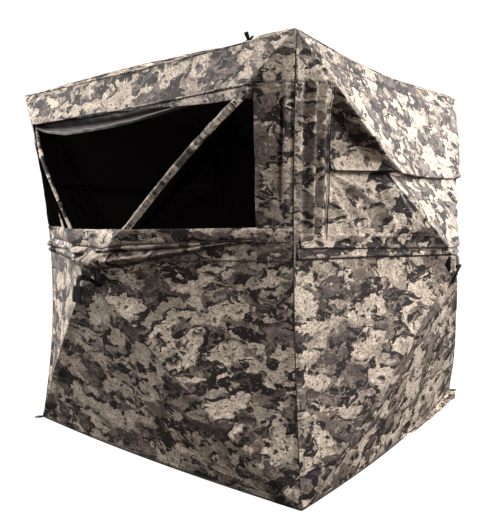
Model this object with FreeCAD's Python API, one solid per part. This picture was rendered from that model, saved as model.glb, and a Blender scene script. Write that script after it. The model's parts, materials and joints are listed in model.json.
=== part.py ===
import FreeCAD, Part
import math
import os
from FreeCAD import Vector

# Pop up ground blind: a fabric box whose four walls and roof are each pushed out by a
# hub with four spring poles. Millimetres, +Z up, origin at the centre of the footprint
# on the ground. The front wall faces -Y, the right wall +X, the rear +Y, the left -X.

# ---- Driving dimensions -------------------------------------------------------------
WIDTH = 1420.0  # between the corner seams, along X and along Y
WALL_HEIGHT = 1460.0  # ground to the roof seam at a corner
WALL_BULGE = 242.5  # how far a wall's hub stands outside the corner seams
ROOF_RISE = 245.0  # how far the roof's hub stands above the roof seam
FABRIC = 2.5  # thickness of every fabric plate
SEAM_START = 14.0  # a swinging panel starts this far from its seam
CORNER_CUT = 130.0  # and stays this far from the ends of that seam
RIDGE_GAP = 12.0  # and this far from the diagonal while the wall is flat
APEX_GAP = 70.0  # and this far from the hub's centre while the wall is flat

POLE_INSET = 20.0  # pole pivots and pole ends lie this far inside the fabric
PIVOT_RADIUS = 32.0  # hub centre to the pole pivots
POLE_CORNER_GAP = 90.0  # pole end to the corner, along the diagonal
POLE_RADIUS = 5.0
POLE_TIP_RADIUS = 7.0
POLE_TIP_LENGTH = 45.0
POLE_TIP_ROUNDING = 4.2
KNUCKLE_LENGTH = 34.0
KNUCKLE_SIZE = 14.0

HUB_RADIUS = 45.0
HUB_THICKNESS = 24.0
OVERCUT = 1.0  # how far cut or joined solids run past each other
SLOT_WIDTH = 15.0
SLOT_START = 23.0  # hub centre to the inner end of a pole slot
PIVOT_PIN_RADIUS = 3.0
PIN_CLEARANCE = 0.08
PIVOT_PIN_LENGTH = 26.0
CAP_RADIUS = 30.0
CAP_HEIGHT = 11.0
EAR_THICKNESS = 3.0
EAR_REACH = 6.0  # from the strap pin to the edge of the ear
STRAP_PIN_RADIUS = 2.5
STRAP_PIN_RISE = 9.0  # strap pin above the fabric
STRAP_PIN_DROP = 10.0  # strap pin below the hub's centre, on a wall

STRAP_WIDTH = 22.0
STRAP_THICKNESS = 3.0
STRAP_LENGTH = 105.0
STRAP_EYE_RADIUS = 5.0
STRAP_EYE_LENGTH = 24.0
EYE_END_GAP = 0.5  # between the strap's eye and each ear
GRIP_LENGTH = 45.0
GRIP_THICKNESS = 8.0
GRIP_OVERHANG = 1.0  # how much wider the grip is than the strap, at each edge
WALL_STRAP_TILT = 22.0  # degrees that a wall's strap stands out from hanging straight down
ROOF_STRAP_LENGTH = 45.0

PILLAR_WIDTH = 118.0  # fabric beside the open window, from the corner seam
SILL_HEIGHT = 880.0  # ground to the window's lower edge
BROW_DEPTH = 150.0  # fabric above the open window, down from the roof seam
CURTAIN_HALF_LENGTH = 470.0
CURTAIN_DEPTH = 38.0
CURTAIN_OVERLAP = 9.5  # how far its top edge goes up behind the brow
CURTAIN_THICKNESS = 9.0
CURTAIN_INSET = 5.0  # from the inside of the brow
SILL_ROLL_HEIGHT = 44.0
SILL_ROLL_THICKNESS = 18.0
SILL_ROLL_LIFT = 1.0  # back of the roll above the fabric

PATCH_LEG = 110.0
PATCH_MARGIN = 3.0
POCKET_RADIUS = 16.5
POCKET_WALL = 1.5
POCKET_NEAR = 32.0  # pocket's ends, from the corner along the diagonal
POCKET_FAR = 105.0
BINDING_NEAR = 4.0  # a seam binding's faces, measured in from the outside of the walls
BINDING_FAR = 10.0
BINDING_HALF_GAP = 20.0  # bindings stop this far from the corners
HEM_NEAR = 3.0
HEM_FAR = 9.0
HEM_HEIGHT = 8.0
SKIRT_THICKNESS = 2.0
SKIRT_WIDTH = 100.0
SKIRT_HALF_LENGTH = 600.0
SKIRT_GAP = 1.0  # between a skirt and the hem
TURNED_OUT_SKIRT = [  # (along the wall, out from the seam), around the visible flap
    (-30.0, 0.0),
    (120.0, 28.0),
    (590.0, 58.0),
    (645.0, 52.0),
    (655.0, 0.0),
]
TAB_WIDTH = 26.0
TAB_LENGTH = 36.0
TAB_THICKNESS = 3.0
GROMMET_BORE = 6.0
GROMMET_SLEEVE = 8.0
GROMMET_FLANGE = 11.0
GROMMET_RISE = 1.5
GROMMET_AT = 20.0  # hole to the corner end of its tab
GROMMET_FIT = 0.1  # radial gap between a grommet and its tab
TAB_START = 2.0  # a tab's sewn end, outward from the corner
TUCKED_TAB_START = 26.0  # the tucked tab's sewn end, inward from the corner

DOOR_HINGE = 150.0  # door's hinge line, from the corner seam
DOOR_WIDTH = 330.0
DOOR_BOTTOM = -470.0  # door's edges, from the height of the hub
DOOR_TOP = 420.0
DOOR_BOTTOM_RUN = 50.0  # length of its level bottom edge, from the hinge line
DOOR_TOP_RUN = 65.0  # length of its level top edge
DOOR_EDGE_LOW = -150.0  # the straight stretch of the door's free edge
DOOR_EDGE_HIGH = 130.0
DOOR_GAP = 3.0
SLIDER_LENGTH = 16.0
SLIDER_WIDTH = 12.0
SLIDER_THICKNESS = 5.0
SLIDER_LIFT = 0.5  # underside of the slider above the fabric

HALF_WIDTH = WIDTH / 2
HALF_HEIGHT = WALL_HEIGHT / 2
UP = Vector(0, 0, 1)


class Side:
    """One wall or the roof: U to the right, V up and N outward, seen from outside."""

    def __init__(self, name, u, n, half_v, rise, edge_names, corner_names):
        self.name = name
        self.u = Vector(*u)
        self.n = Vector(*n)
        self.v = self.n.cross(self.u)
        self.half_u = HALF_WIDTH
        self.half_v = half_v
        self.rise = rise
        self.edge_names = edge_names
        self.corner_names = corner_names
        if name == "roof":
            self.centre = UP * WALL_HEIGHT
        else:
            self.centre = self.n * HALF_WIDTH + UP * HALF_HEIGHT

    def at(self, u, v, n):
        """The point with these coordinates on the side's own axes."""
        return self.centre + self.u * u + self.v * v + self.n * n

    def way(self, u, v, n):
        """The direction with these parts along the side's own axes."""
        return self.u * u + self.v * v + self.n * n

    def diagonal(self, sign_u, sign_v):
        """Length and unit direction from the centre to a corner."""
        length = math.hypot(self.half_u, self.half_v)
        return length, self.way(sign_u * self.half_u / length, sign_v * self.half_v / length, 0)


WALL_EDGES = {"top": (0, 1), "bottom": (0, -1), "left": (-1, 0), "right": (1, 0)}
ROOF_EDGES = {"rear": (0, 1), "front": (0, -1), "left": (-1, 0), "right": (1, 0)}
WALL_CORNERS = {
    "upper_left": (-1, 1),
    "upper_right": (1, 1),
    "lower_left": (-1, -1),
    "lower_right": (1, -1),
}
ROOF_CORNERS = {
    "rear_left": (-1, 1),
    "rear_right": (1, 1),
    "front_left": (-1, -1),
    "front_right": (1, -1),
}
SIDES = [
    Side("front", (1, 0, 0), (0, -1, 0), HALF_HEIGHT, WALL_BULGE, WALL_EDGES, WALL_CORNERS),
    Side("right", (0, 1, 0), (1, 0, 0), HALF_HEIGHT, WALL_BULGE, WALL_EDGES, WALL_CORNERS),
    Side("rear", (-1, 0, 0), (0, 1, 0), HALF_HEIGHT, WALL_BULGE, WALL_EDGES, WALL_CORNERS),
    Side("left", (0, -1, 0), (-1, 0, 0), HALF_HEIGHT, WALL_BULGE, WALL_EDGES, WALL_CORNERS),
    Side("roof", (1, 0, 0), (0, 0, 1), HALF_WIDTH, ROOF_RISE, ROOF_EDGES, ROOF_CORNERS),
]


# ---- Small helpers ------------------------------------------------------------------
def prism(points, push):
    """The solid swept by a flat polygon that moves along push."""
    face = Part.Face(Part.makePolygon(points + [points[0]]))
    return face.extrude(push)


def rod(start, end, radius):
    way = end - start
    return Part.makeCylinder(radius, way.Length, start, way)


def slab(centre, half_a, half_b, half_c):
    """A block about a centre, from its three half-extent vectors."""
    corners = [
        centre - half_c + half_a * a + half_b * b for a, b in ((-1, -1), (1, -1), (1, 1), (-1, 1))
    ]
    return prism(corners, half_c * 2)


def save(name, solids):
    """Write one node: a single solid, or a compound of separate ones."""
    shape = solids[0] if len(solids) == 1 else Part.makeCompound(solids)
    shape.exportStep("parts/" + name + ".step")


# ---- Fabric panels ------------------------------------------------------------------
class Panel:
    """A triangle of fabric between one seam and the hub, trimmed so that it can swing.

    A point of it is (reach, along): reach from the seam towards the hub, measured on
    the flat side of the box, and along the seam from its middle, towards +V or +U.
    """

    def __init__(self, side, edge):
        sign_u, sign_v = side.edge_names[edge]
        self.side = side
        self.depth = side.half_u if sign_u else side.half_v
        self.half_seam = side.half_v if sign_u else side.half_u
        self.edge_way = side.way(sign_u, sign_v, 0)
        self.seam_way = side.v if sign_u else side.u
        self.angle = math.atan2(side.rise, self.depth)
        self.outward = side.n * math.cos(self.angle) + self.edge_way * math.sin(self.angle)
        self.inward = side.n * math.sin(self.angle) - self.edge_way * math.cos(self.angle)

    def at(self, reach, along, lift=0.0):
        """A point of the panel's outer face, raised by lift along its outward normal."""
        on_seam = self.side.centre + self.edge_way * (self.depth - reach) + self.seam_way * along
        return on_seam + self.side.n * (self.side.rise * reach / self.depth) + self.outward * lift

    def reach_limit(self, along):
        """How far the panel may reach here without crossing the diagonal while it is flat."""
        flat = self.depth * (1 - abs(along) / self.half_seam) - RIDGE_GAP
        return flat * math.cos(self.angle)

    def apex(self):
        """Reach and half-length of the edge nearest the hub."""
        flat = self.depth - APEX_GAP
        half = self.half_seam * (1 - (flat + RIDGE_GAP) / self.depth)
        return flat * math.cos(self.angle), half

    def outline(self):
        end = self.half_seam - CORNER_CUT
        corner_reach = self.reach_limit(end)
        apex_reach, apex_half = self.apex()
        return [
            (SEAM_START, -end),
            (SEAM_START, end),
            (corner_reach, end),
            (apex_reach, apex_half),
            (apex_reach, -apex_half),
            (corner_reach, -end),
        ]

    def plate(self, points, lift=0.0, thickness=FABRIC):
        """A plate on the panel's plane, its outer face raised by lift."""
        return prism([self.at(r, a, lift) for r, a in points], self.outward * -thickness)


def window_side_panel(panel):
    """Beside the open window: a narrow pillar above the sill and full fabric below it."""
    end = panel.half_seam - CORNER_CUT
    sill = SILL_HEIGHT - HALF_HEIGHT
    apex_reach, apex_half = panel.apex()
    below = [
        (SEAM_START, -end),
        (SEAM_START, sill),
        (panel.reach_limit(sill), sill),
        (apex_reach, apex_half),
        (apex_reach, -apex_half),
        (panel.reach_limit(end), -end),
    ]
    corner_reach = panel.reach_limit(end)
    pillar = [
        (SEAM_START, sill),
        (SEAM_START, end),
        (corner_reach, end),
        (PILLAR_WIDTH, panel.half_seam * (1 - (PILLAR_WIDTH + RIDGE_GAP * 2) / panel.depth)),
        (PILLAR_WIDTH, sill),
    ]
    return [panel.plate(below), panel.plate(pillar)]


def brow_panel(panel):
    """Above the open window: a strip of the panel along the roof seam."""
    end = panel.half_seam - CORNER_CUT
    flat = BROW_DEPTH / math.cos(panel.angle)
    brow_half = panel.half_seam * (1 - (flat + RIDGE_GAP) / panel.depth)
    outline = [
        (SEAM_START, -end),
        (SEAM_START, end),
        (panel.reach_limit(end), end),
        (BROW_DEPTH, brow_half),
        (BROW_DEPTH, -brow_half),
        (panel.reach_limit(end), -end),
    ]
    return [panel.plate(outline)]


def door_outline(gap):
    """The door's edges, or the cut-out's, which is larger by gap all round."""
    free = DOOR_HINGE + DOOR_WIDTH
    return [
        (DOOR_HINGE - gap, DOOR_BOTTOM - gap),
        (DOOR_HINGE + DOOR_BOTTOM_RUN + gap, DOOR_BOTTOM - gap),
        (free + gap, DOOR_EDGE_LOW - gap),
        (free + gap, DOOR_EDGE_HIGH + gap),
        (DOOR_HINGE + DOOR_TOP_RUN + gap, DOOR_TOP + gap),
        (DOOR_HINGE - gap, DOOR_TOP + gap),
    ]


def door_frame_panel(panel):
    """The panel that the door is cut out of."""
    whole = panel.plate(panel.outline())
    opening = panel.plate(door_outline(DOOR_GAP), lift=FABRIC, thickness=FABRIC * 3)
    return whole.cut(opening).Solids


def door_zipper_slider(panel):
    """The zipper's slider, on the frame beside the top of the door's straight edge."""
    reach = DOOR_HINGE + DOOR_WIDTH + DOOR_GAP + SLIDER_WIDTH / 2
    low = DOOR_EDGE_HIGH - SLIDER_LENGTH
    corners = [
        (reach - SLIDER_WIDTH / 2, low),
        (reach + SLIDER_WIDTH / 2, low),
        (reach + SLIDER_WIDTH / 2, DOOR_EDGE_HIGH),
        (reach - SLIDER_WIDTH / 2, DOOR_EDGE_HIGH),
    ]
    lift = SLIDER_THICKNESS + SLIDER_LIFT
    return [panel.plate(corners, lift=lift, thickness=SLIDER_THICKNESS)]


def sill_roll(panel):
    """Bunched window fabric along the top of the wall's lower part."""
    high = SILL_HEIGHT - HALF_HEIGHT + SILL_ROLL_THICKNESS / 2
    low = high - SILL_ROLL_HEIGHT
    far = panel.reach_limit(high)
    points = [(PILLAR_WIDTH, low), (far, low), (far, high), (PILLAR_WIDTH, high)]
    lift = SILL_ROLL_THICKNESS + SILL_ROLL_LIFT
    return [panel.plate(points, lift=lift, thickness=SILL_ROLL_THICKNESS)]


def window_curtain(panel):
    """The black inner curtain, let down and hanging just inside the brow's edge."""
    top = BROW_DEPTH - CURTAIN_OVERLAP
    ends = (-CURTAIN_HALF_LENGTH, CURTAIN_HALF_LENGTH)
    points = [
        (top, ends[0]),
        (top + CURTAIN_DEPTH, ends[0]),
        (top + CURTAIN_DEPTH, ends[1]),
        (top, ends[1]),
    ]
    lift = -FABRIC - CURTAIN_INSET
    return [panel.plate(points, lift=lift, thickness=CURTAIN_THICKNESS)]


# ---- Hubs, poles and straps ---------------------------------------------------------
def hub(side, strap_drop):
    """Slotted disc, four pivot pins, and the cap and strap pin that clamp the fabric."""
    middle = side.at(0, 0, side.rise - POLE_INSET)
    half = side.n * (HUB_THICKNESS / 2)
    disc = rod(middle - half, middle + half, HUB_RADIUS)
    pins = []
    for sign_u, sign_v in side.corner_names.values():
        way = side.diagonal(sign_u, sign_v)[1]
        across = side.n.cross(way)
        slot_length = HUB_RADIUS - SLOT_START + OVERCUT
        slot = slab(
            middle + way * (SLOT_START + slot_length / 2),
            way * (slot_length / 2),
            across * (SLOT_WIDTH / 2),
            side.n * HUB_THICKNESS,
        )
        pivot = middle + way * PIVOT_RADIUS
        pin = rod(
            pivot - across * (PIVOT_PIN_LENGTH / 2),
            pivot + across * (PIVOT_PIN_LENGTH / 2),
            PIVOT_PIN_RADIUS,
        )
        disc = disc.cut(slot).cut(pin)
        pins.append(pin)
    return [disc] + pins + [strap_clamp(side, middle + half, strap_drop)]


def strap_clamp(side, base, drop):
    """The cap outside the fabric, with two ears and the pin that the strap turns on."""
    cap = rod(base, base + side.n * CAP_HEIGHT, CAP_RADIUS)
    pin_at = side.at(0, -drop, side.rise + STRAP_PIN_RISE)
    ear_from = STRAP_EYE_LENGTH / 2 + EYE_END_GAP
    cap_top = base + side.n * CAP_HEIGHT
    ear_low = (cap_top - side.centre).dot(side.n) - OVERCUT
    ear_high = side.rise + STRAP_PIN_RISE + EAR_REACH
    for sign in (-1, 1):
        ear = slab(
            side.at(sign * (ear_from + EAR_THICKNESS / 2), -drop, (ear_low + ear_high) / 2),
            side.u * (EAR_THICKNESS / 2),
            side.v * EAR_REACH,
            side.n * ((ear_high - ear_low) / 2),
        )
        cap = cap.fuse(ear)
    reach = ear_from + EAR_THICKNESS
    pin = rod(pin_at - side.u * reach, pin_at + side.u * reach, STRAP_PIN_RADIUS)
    return cap.fuse(pin).removeSplitter()


def pole_direction(side, sign_u, sign_v):
    """The pole's pivot, its direction to the corner and its length."""
    diagonal, way = side.diagonal(sign_u, sign_v)
    run = diagonal - POLE_CORNER_GAP - PIVOT_RADIUS
    pivot = side.at(0, 0, side.rise - POLE_INSET) + way * PIVOT_RADIUS
    end = side.at(0, 0, -POLE_INSET) + way * (PIVOT_RADIUS + run)
    return pivot, (end - pivot).normalize(), math.hypot(run, side.rise)


def pole(side, sign_u, sign_v):
    """Pole with its pivot knuckle and its rounded end cap, as three solids."""
    pivot, way, length = pole_direction(side, sign_u, sign_v)
    across = side.n.cross(side.diagonal(sign_u, sign_v)[1])
    above = way.cross(across)
    half = KNUCKLE_SIZE / 2
    lug = slab(
        pivot + way * (KNUCKLE_LENGTH / 2),
        way * (KNUCKLE_LENGTH / 2),
        across * half,
        above * half,
    )
    eye = rod(pivot - across * half, pivot + across * half, half)
    bore = rod(
        pivot - across * KNUCKLE_SIZE,
        pivot + across * KNUCKLE_SIZE,
        PIVOT_PIN_RADIUS + PIN_CLEARANCE,
    )
    knuckle = lug.fuse(eye).cut(bore).removeSplitter()
    shaft = rod(
        pivot + way * KNUCKLE_LENGTH, pivot + way * (length - POLE_TIP_LENGTH), POLE_RADIUS
    )
    end = pivot + way * length
    tip = rod(end - way * POLE_TIP_LENGTH, end, POLE_TIP_RADIUS)
    rim = [edge for edge in tip.Edges if edge.CenterOfMass.isEqual(end, 0.01)]
    tip = tip.makeFillet(POLE_TIP_ROUNDING, rim)
    return [knuckle, shaft, tip]


def pull_strap(side, drop, tilt, length):
    """Doubled webbing on the cap's pin, with a thicker sewn grip at its end."""
    pin_at = side.at(0, -drop, side.rise + STRAP_PIN_RISE)
    angle = math.radians(tilt)
    way = side.n * math.sin(angle) - side.v * math.cos(angle)
    facing = way.cross(side.u)
    half_eye = STRAP_EYE_LENGTH / 2
    eye = rod(pin_at - side.u * half_eye, pin_at + side.u * half_eye, STRAP_EYE_RADIUS)
    web = slab(
        pin_at + way * (length / 2),
        way * (length / 2),
        side.u * (STRAP_WIDTH / 2),
        facing * (STRAP_THICKNESS / 2),
    )
    grip_length = min(GRIP_LENGTH, length / 2)
    grip = slab(
        pin_at + way * (length - grip_length / 2),
        way * (grip_length / 2),
        side.u * (STRAP_WIDTH / 2 + GRIP_OVERHANG),
        facing * (GRIP_THICKNESS / 2),
    )
    bore = rod(
        pin_at - side.u * STRAP_WIDTH,
        pin_at + side.u * STRAP_WIDTH,
        STRAP_PIN_RADIUS + PIN_CLEARANCE,
    )
    return [eye.fuse(web).fuse(grip).cut(bore).removeSplitter()]


# ---- Pieces that stay with the corner seams -----------------------------------------
def corner_patches():
    """Reinforcing triangles in every wall's four corners and the roof's."""
    plates = []
    for side in SIDES:
        for sign_u, sign_v in side.corner_names.values():
            near_u = side.half_u - PATCH_MARGIN
            grounded = side.name != "roof" and sign_v < 0
            near_v = side.half_v - (0.0 if grounded else PATCH_MARGIN)
            points = [
                side.at(sign_u * near_u, sign_v * near_v, 0),
                side.at(sign_u * (near_u - PATCH_LEG), sign_v * near_v, 0),
                side.at(sign_u * near_u, sign_v * (near_v - PATCH_LEG), 0),
            ]
            plates.append(prism(points, side.n * -FABRIC))
    return plates


def pole_pockets():
    """Sewn tubes that hold the pole ends, one in every corner of every side."""
    pockets = []
    for side in SIDES:
        for sign_u, sign_v in side.corner_names.values():
            length, way = side.diagonal(sign_u, sign_v)
            base = side.at(0, 0, -POLE_INSET)
            near = base + way * (length - POCKET_NEAR)
            far = base + way * (length - POCKET_FAR)
            sleeve = rod(near, far, POCKET_RADIUS)
            pockets.append(sleeve.cut(rod(near, far, POCKET_RADIUS - POCKET_WALL)))
    return pockets


def edge_bindings():
    """Binding tape inside the corner and roof seams, and the folded hem on the ground."""
    strips = []
    centre = HALF_WIDTH - (BINDING_NEAR + BINDING_FAR) / 2
    half = (BINDING_FAR - BINDING_NEAR) / 2
    hem_centre = HALF_WIDTH - (HEM_NEAR + HEM_FAR) / 2
    hem_half = (HEM_FAR - HEM_NEAR) / 2
    run = HALF_WIDTH - BINDING_HALF_GAP
    for side in SIDES[:4]:
        in_wall = side.n * half
        strips.append(
            slab(
                side.n * centre + side.u * centre + UP * (WALL_HEIGHT / 2),
                side.u * half,
                in_wall,
                UP * (WALL_HEIGHT / 2 - BINDING_HALF_GAP),
            )
        )
        strips.append(
            slab(
                side.n * centre + UP * (WALL_HEIGHT - BINDING_NEAR - half),
                side.u * run,
                in_wall,
                UP * half,
            )
        )
        strips.append(
            slab(
                side.n * hem_centre + UP * (HEM_HEIGHT / 2),
                side.u * run,
                side.n * hem_half,
                UP * (HEM_HEIGHT / 2),
            )
        )
    return strips


def ground_skirts():
    """Skirt flaps on the ground: three tucked inside, the right one turned out at the rear."""
    push = UP * SKIRT_THICKNESS
    outer = HALF_WIDTH - HEM_FAR - SKIRT_GAP
    inner = outer - SKIRT_WIDTH
    flaps = []
    for side in SIDES[:4]:
        if side.name == "right":
            continue
        corners = [
            side.n * outer - side.u * SKIRT_HALF_LENGTH,
            side.n * outer + side.u * SKIRT_HALF_LENGTH,
            side.n * inner + side.u * (SKIRT_HALF_LENGTH - SKIRT_WIDTH / 2),
            side.n * inner - side.u * (SKIRT_HALF_LENGTH - SKIRT_WIDTH / 2),
        ]
        flaps.append(prism(corners, push))
    seam = HALF_WIDTH + SKIRT_GAP
    flaps.append(prism([Vector(seam + out, along, 0) for along, out in TURNED_OUT_SKIRT], push))
    return flaps


def stake_tab(sign_x, sign_y, outward):
    """A webbing tab on the ground with a metal grommet for a stake."""
    way = Vector(sign_x, sign_y, 0).normalize() * (1 if outward else -1)
    start = Vector(sign_x, sign_y, 0) * HALF_WIDTH
    start += way * (TAB_START if outward else TUCKED_TAB_START)
    across = UP.cross(way)
    half_rise = UP * (TAB_THICKNESS / 2)
    hole = start + way * GROMMET_AT
    tab = slab(
        start + way * (TAB_LENGTH / 2) + half_rise,
        way * (TAB_LENGTH / 2),
        across * (TAB_WIDTH / 2),
        half_rise,
    )
    top = UP * (TAB_THICKNESS + GROMMET_RISE)
    tab = tab.cut(rod(hole - UP, hole + top, GROMMET_SLEEVE + GROMMET_FIT))
    sleeve = rod(hole, hole + top, GROMMET_SLEEVE)
    flange = rod(hole + UP * (TAB_THICKNESS + GROMMET_FIT / 2), hole + top, GROMMET_FLANGE)
    ring = sleeve.fuse(flange)
    return [tab, ring.cut(rod(hole - UP, hole + top + UP, GROMMET_BORE)).removeSplitter()]


def stake_tabs():
    """Four corner tabs; the one at the front right corner is tucked under the wall."""
    pieces = []
    for sign_x in (-1, 1):
        for sign_y in (-1, 1):
            tucked = sign_x > 0 and sign_y < 0
            pieces += stake_tab(sign_x, sign_y, not tucked)
    return pieces


# ---- Whole blind --------------------------------------------------------------------
def fabric_solids(side, edge):
    """The solids of one swinging panel, open where the wall is open."""
    panel = Panel(side, edge)
    if side.name == "front" and edge in ("left", "right"):
        return window_side_panel(panel)
    if side.name == "front" and edge == "top":
        return brow_panel(panel)
    if side.name == "rear" and edge == "right":
        return door_frame_panel(panel)
    return [panel.plate(panel.outline())]


def save_side(side):
    """One wall or the roof: its hub, poles, strap and panels."""
    is_roof = side.name == "roof"
    drop = 0.0 if is_roof else STRAP_PIN_DROP
    save(side.name + "_hub", hub(side, drop))
    tilt = 90.0 if is_roof else WALL_STRAP_TILT
    length = ROOF_STRAP_LENGTH if is_roof else STRAP_LENGTH
    save(side.name + "_pull_strap", pull_strap(side, drop, tilt, length))
    for corner, (sign_u, sign_v) in side.corner_names.items():
        save(side.name + "_" + corner + "_pole", pole(side, sign_u, sign_v))
    for edge in side.edge_names:
        save(side.name + "_" + edge + "_panel", fabric_solids(side, edge))


def main():
    os.makedirs("parts", exist_ok=True)
    for side in SIDES:
        save_side(side)
    front, rear = SIDES[0], SIDES[2]
    save("front_sill_left", sill_roll(Panel(front, "left")))
    save("front_sill_right", sill_roll(Panel(front, "right")))
    save("front_window_curtain", window_curtain(Panel(front, "top")))
    door_side = Panel(rear, "right")
    save("rear_door", [door_side.plate(door_outline(0.0))])
    save("door_zipper_slider", door_zipper_slider(door_side))
    save("corner_patches", corner_patches())
    save("pole_pockets", pole_pockets())
    save("edge_bindings", edge_bindings())
    save("ground_skirts", ground_skirts())
    save("stake_tabs", stake_tabs())


main()
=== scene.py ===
"""Pop up ground blind: camouflage walls and roof stretched between seams, poles and hubs.

Metres, in the frame's own axes: +Z up, the open front window faces -Y. Each side has
axes of its own: u to the right, v up and n outward, seen from outside.
"""
import json
import math

import bmesh
import bpy
import numpy as np
from mathutils import Matrix, Vector


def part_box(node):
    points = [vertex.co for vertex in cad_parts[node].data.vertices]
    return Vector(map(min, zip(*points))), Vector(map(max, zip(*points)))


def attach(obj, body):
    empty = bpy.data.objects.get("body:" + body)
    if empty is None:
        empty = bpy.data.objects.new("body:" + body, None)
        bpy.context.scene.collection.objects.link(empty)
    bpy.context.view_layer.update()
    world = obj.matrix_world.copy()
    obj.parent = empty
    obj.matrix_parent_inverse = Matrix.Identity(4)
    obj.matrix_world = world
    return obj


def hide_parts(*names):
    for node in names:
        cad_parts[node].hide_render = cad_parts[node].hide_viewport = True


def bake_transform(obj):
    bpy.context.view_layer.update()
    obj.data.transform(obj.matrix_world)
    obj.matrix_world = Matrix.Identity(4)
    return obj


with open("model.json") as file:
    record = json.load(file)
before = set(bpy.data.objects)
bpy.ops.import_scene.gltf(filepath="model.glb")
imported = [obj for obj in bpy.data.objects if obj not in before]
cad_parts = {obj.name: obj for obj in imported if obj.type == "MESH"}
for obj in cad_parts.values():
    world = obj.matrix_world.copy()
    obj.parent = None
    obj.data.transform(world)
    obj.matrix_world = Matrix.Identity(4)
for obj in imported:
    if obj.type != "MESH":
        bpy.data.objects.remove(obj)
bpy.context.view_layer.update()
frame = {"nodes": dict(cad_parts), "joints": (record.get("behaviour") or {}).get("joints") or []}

JOINTS = {joint["name"]: joint for joint in frame["joints"]}


def linked(name, data):
    """A new object in the scene."""
    thing = bpy.data.objects.new(name, data)
    bpy.context.scene.collection.objects.link(thing)
    return thing


# ---- Camera --------------------------------------------------------------------------
CAMERA_AT = Vector((1.615, -2.133, 0.949))
CAMERA_YAW = math.radians(37.477)
CAMERA_PITCH = math.radians(5.836)
CAMERA_ROLL = math.radians(-1.083)
CAMERA_LENS = 38.05


def make_camera():
    """The camera stands off the front right corner, at chest height."""
    flat = math.cos(CAMERA_PITCH)
    forward = Vector(
        (-math.sin(CAMERA_YAW) * flat, math.cos(CAMERA_YAW) * flat, -math.sin(CAMERA_PITCH))
    )
    level = forward.cross(Vector((0, 0, 1))).normalized()
    upright = level.cross(forward)
    right = level * math.cos(CAMERA_ROLL) + upright * math.sin(CAMERA_ROLL)
    up = upright * math.cos(CAMERA_ROLL) - level * math.sin(CAMERA_ROLL)
    camera = linked("camera", bpy.data.cameras.new("camera"))
    turn = Matrix((right, up, -forward)).transposed().to_4x4()
    camera.matrix_world = Matrix.Translation(CAMERA_AT) @ turn
    camera.data.lens = CAMERA_LENS
    camera.data.sensor_width = 36.0
    bpy.context.scene.camera = camera


make_camera()

# ---- Sizes ----------------------------------------------------------------------------
HALF_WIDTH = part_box("corner_patches")[1].x
WALL_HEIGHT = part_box("corner_patches")[1].z
HALF_HEIGHT = WALL_HEIGHT / 2

CORNER_BOW = 0.055  # how far tension pulls a corner seam in, halfway up
EAVE_BOW = {"front": 0.004, "right": 0.018, "rear": 0.018, "left": 0.018}  # and a roof seam
RIDGE_BOW = 0.016  # how far a pole pushes its ridge out, halfway along
MIDDLE_SAG = 0.012  # how far a panel lies in from its flat triangle
HEM_BOW = {"front": 0.026, "right": 0.042, "rear": 0.026, "left": 0.034}
CLOTH = 0.0012  # thickness of a fabric layer

POLE_INSET = 0.020  # poles run this far inside the fabric
POLE_START = 0.032  # along the pole's line, from the hub's middle
POLE_CORNER_GAP = 0.090
POCKET_NEAR = 0.032
POCKET_FAR = 0.105
STRAP_PIN_RISE = 0.009
STRAP_PIN_DROP = 0.010

PILLAR_EDGE = 0.591  # half the width of the open window
SILL_TOP = 0.155  # heights on a wall, measured from its hub
EAVE_STITCH = 0.667
BROW_EDGE = 0.588
BROW_HALF = 0.575  # half the length of the brow's edge
ZIP_AT = 0.583  # the side zips of the closed windows, from a wall's middle
ZIP_TOP = 0.584
WINDOW_SEAM = 0.332
BELT_HIGH = 0.098
BELT_HALF = 0.700  # half the belt's length
BELT_AT = 0.07  # the height at which the belt is cut at the poles
EAVE_STITCH_HALF = 0.645
BELT_TOP = ([-0.70, 0.0, 0.70], [0.094, 0.060, 0.094])  # the belt's edges: places u, heights v
BELT_FOOT = ([-0.70, 0.0, 0.70], [0.055, 0.038, 0.055])

DOOR_HINGE = 0.150  # from the corner seam
DOOR_OUTLINE = [  # (from the corner seam, up from the hub)
    (0.150, -0.470),
    (0.200, -0.470),
    (0.480, -0.150),
    (0.480, 0.130),
    (0.215, 0.420),
    (0.150, 0.420),
]
DOOR_GAP = 0.003

WALL_EDGES = {"top": (0, 1), "bottom": (0, -1), "left": (-1, 0), "right": (1, 0)}
ROOF_EDGES = {"rear": (0, 1), "front": (0, -1), "left": (-1, 0), "right": (1, 0)}
CORNERS = ((-1, -1), (1, -1), (1, 1), (-1, 1))


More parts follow.
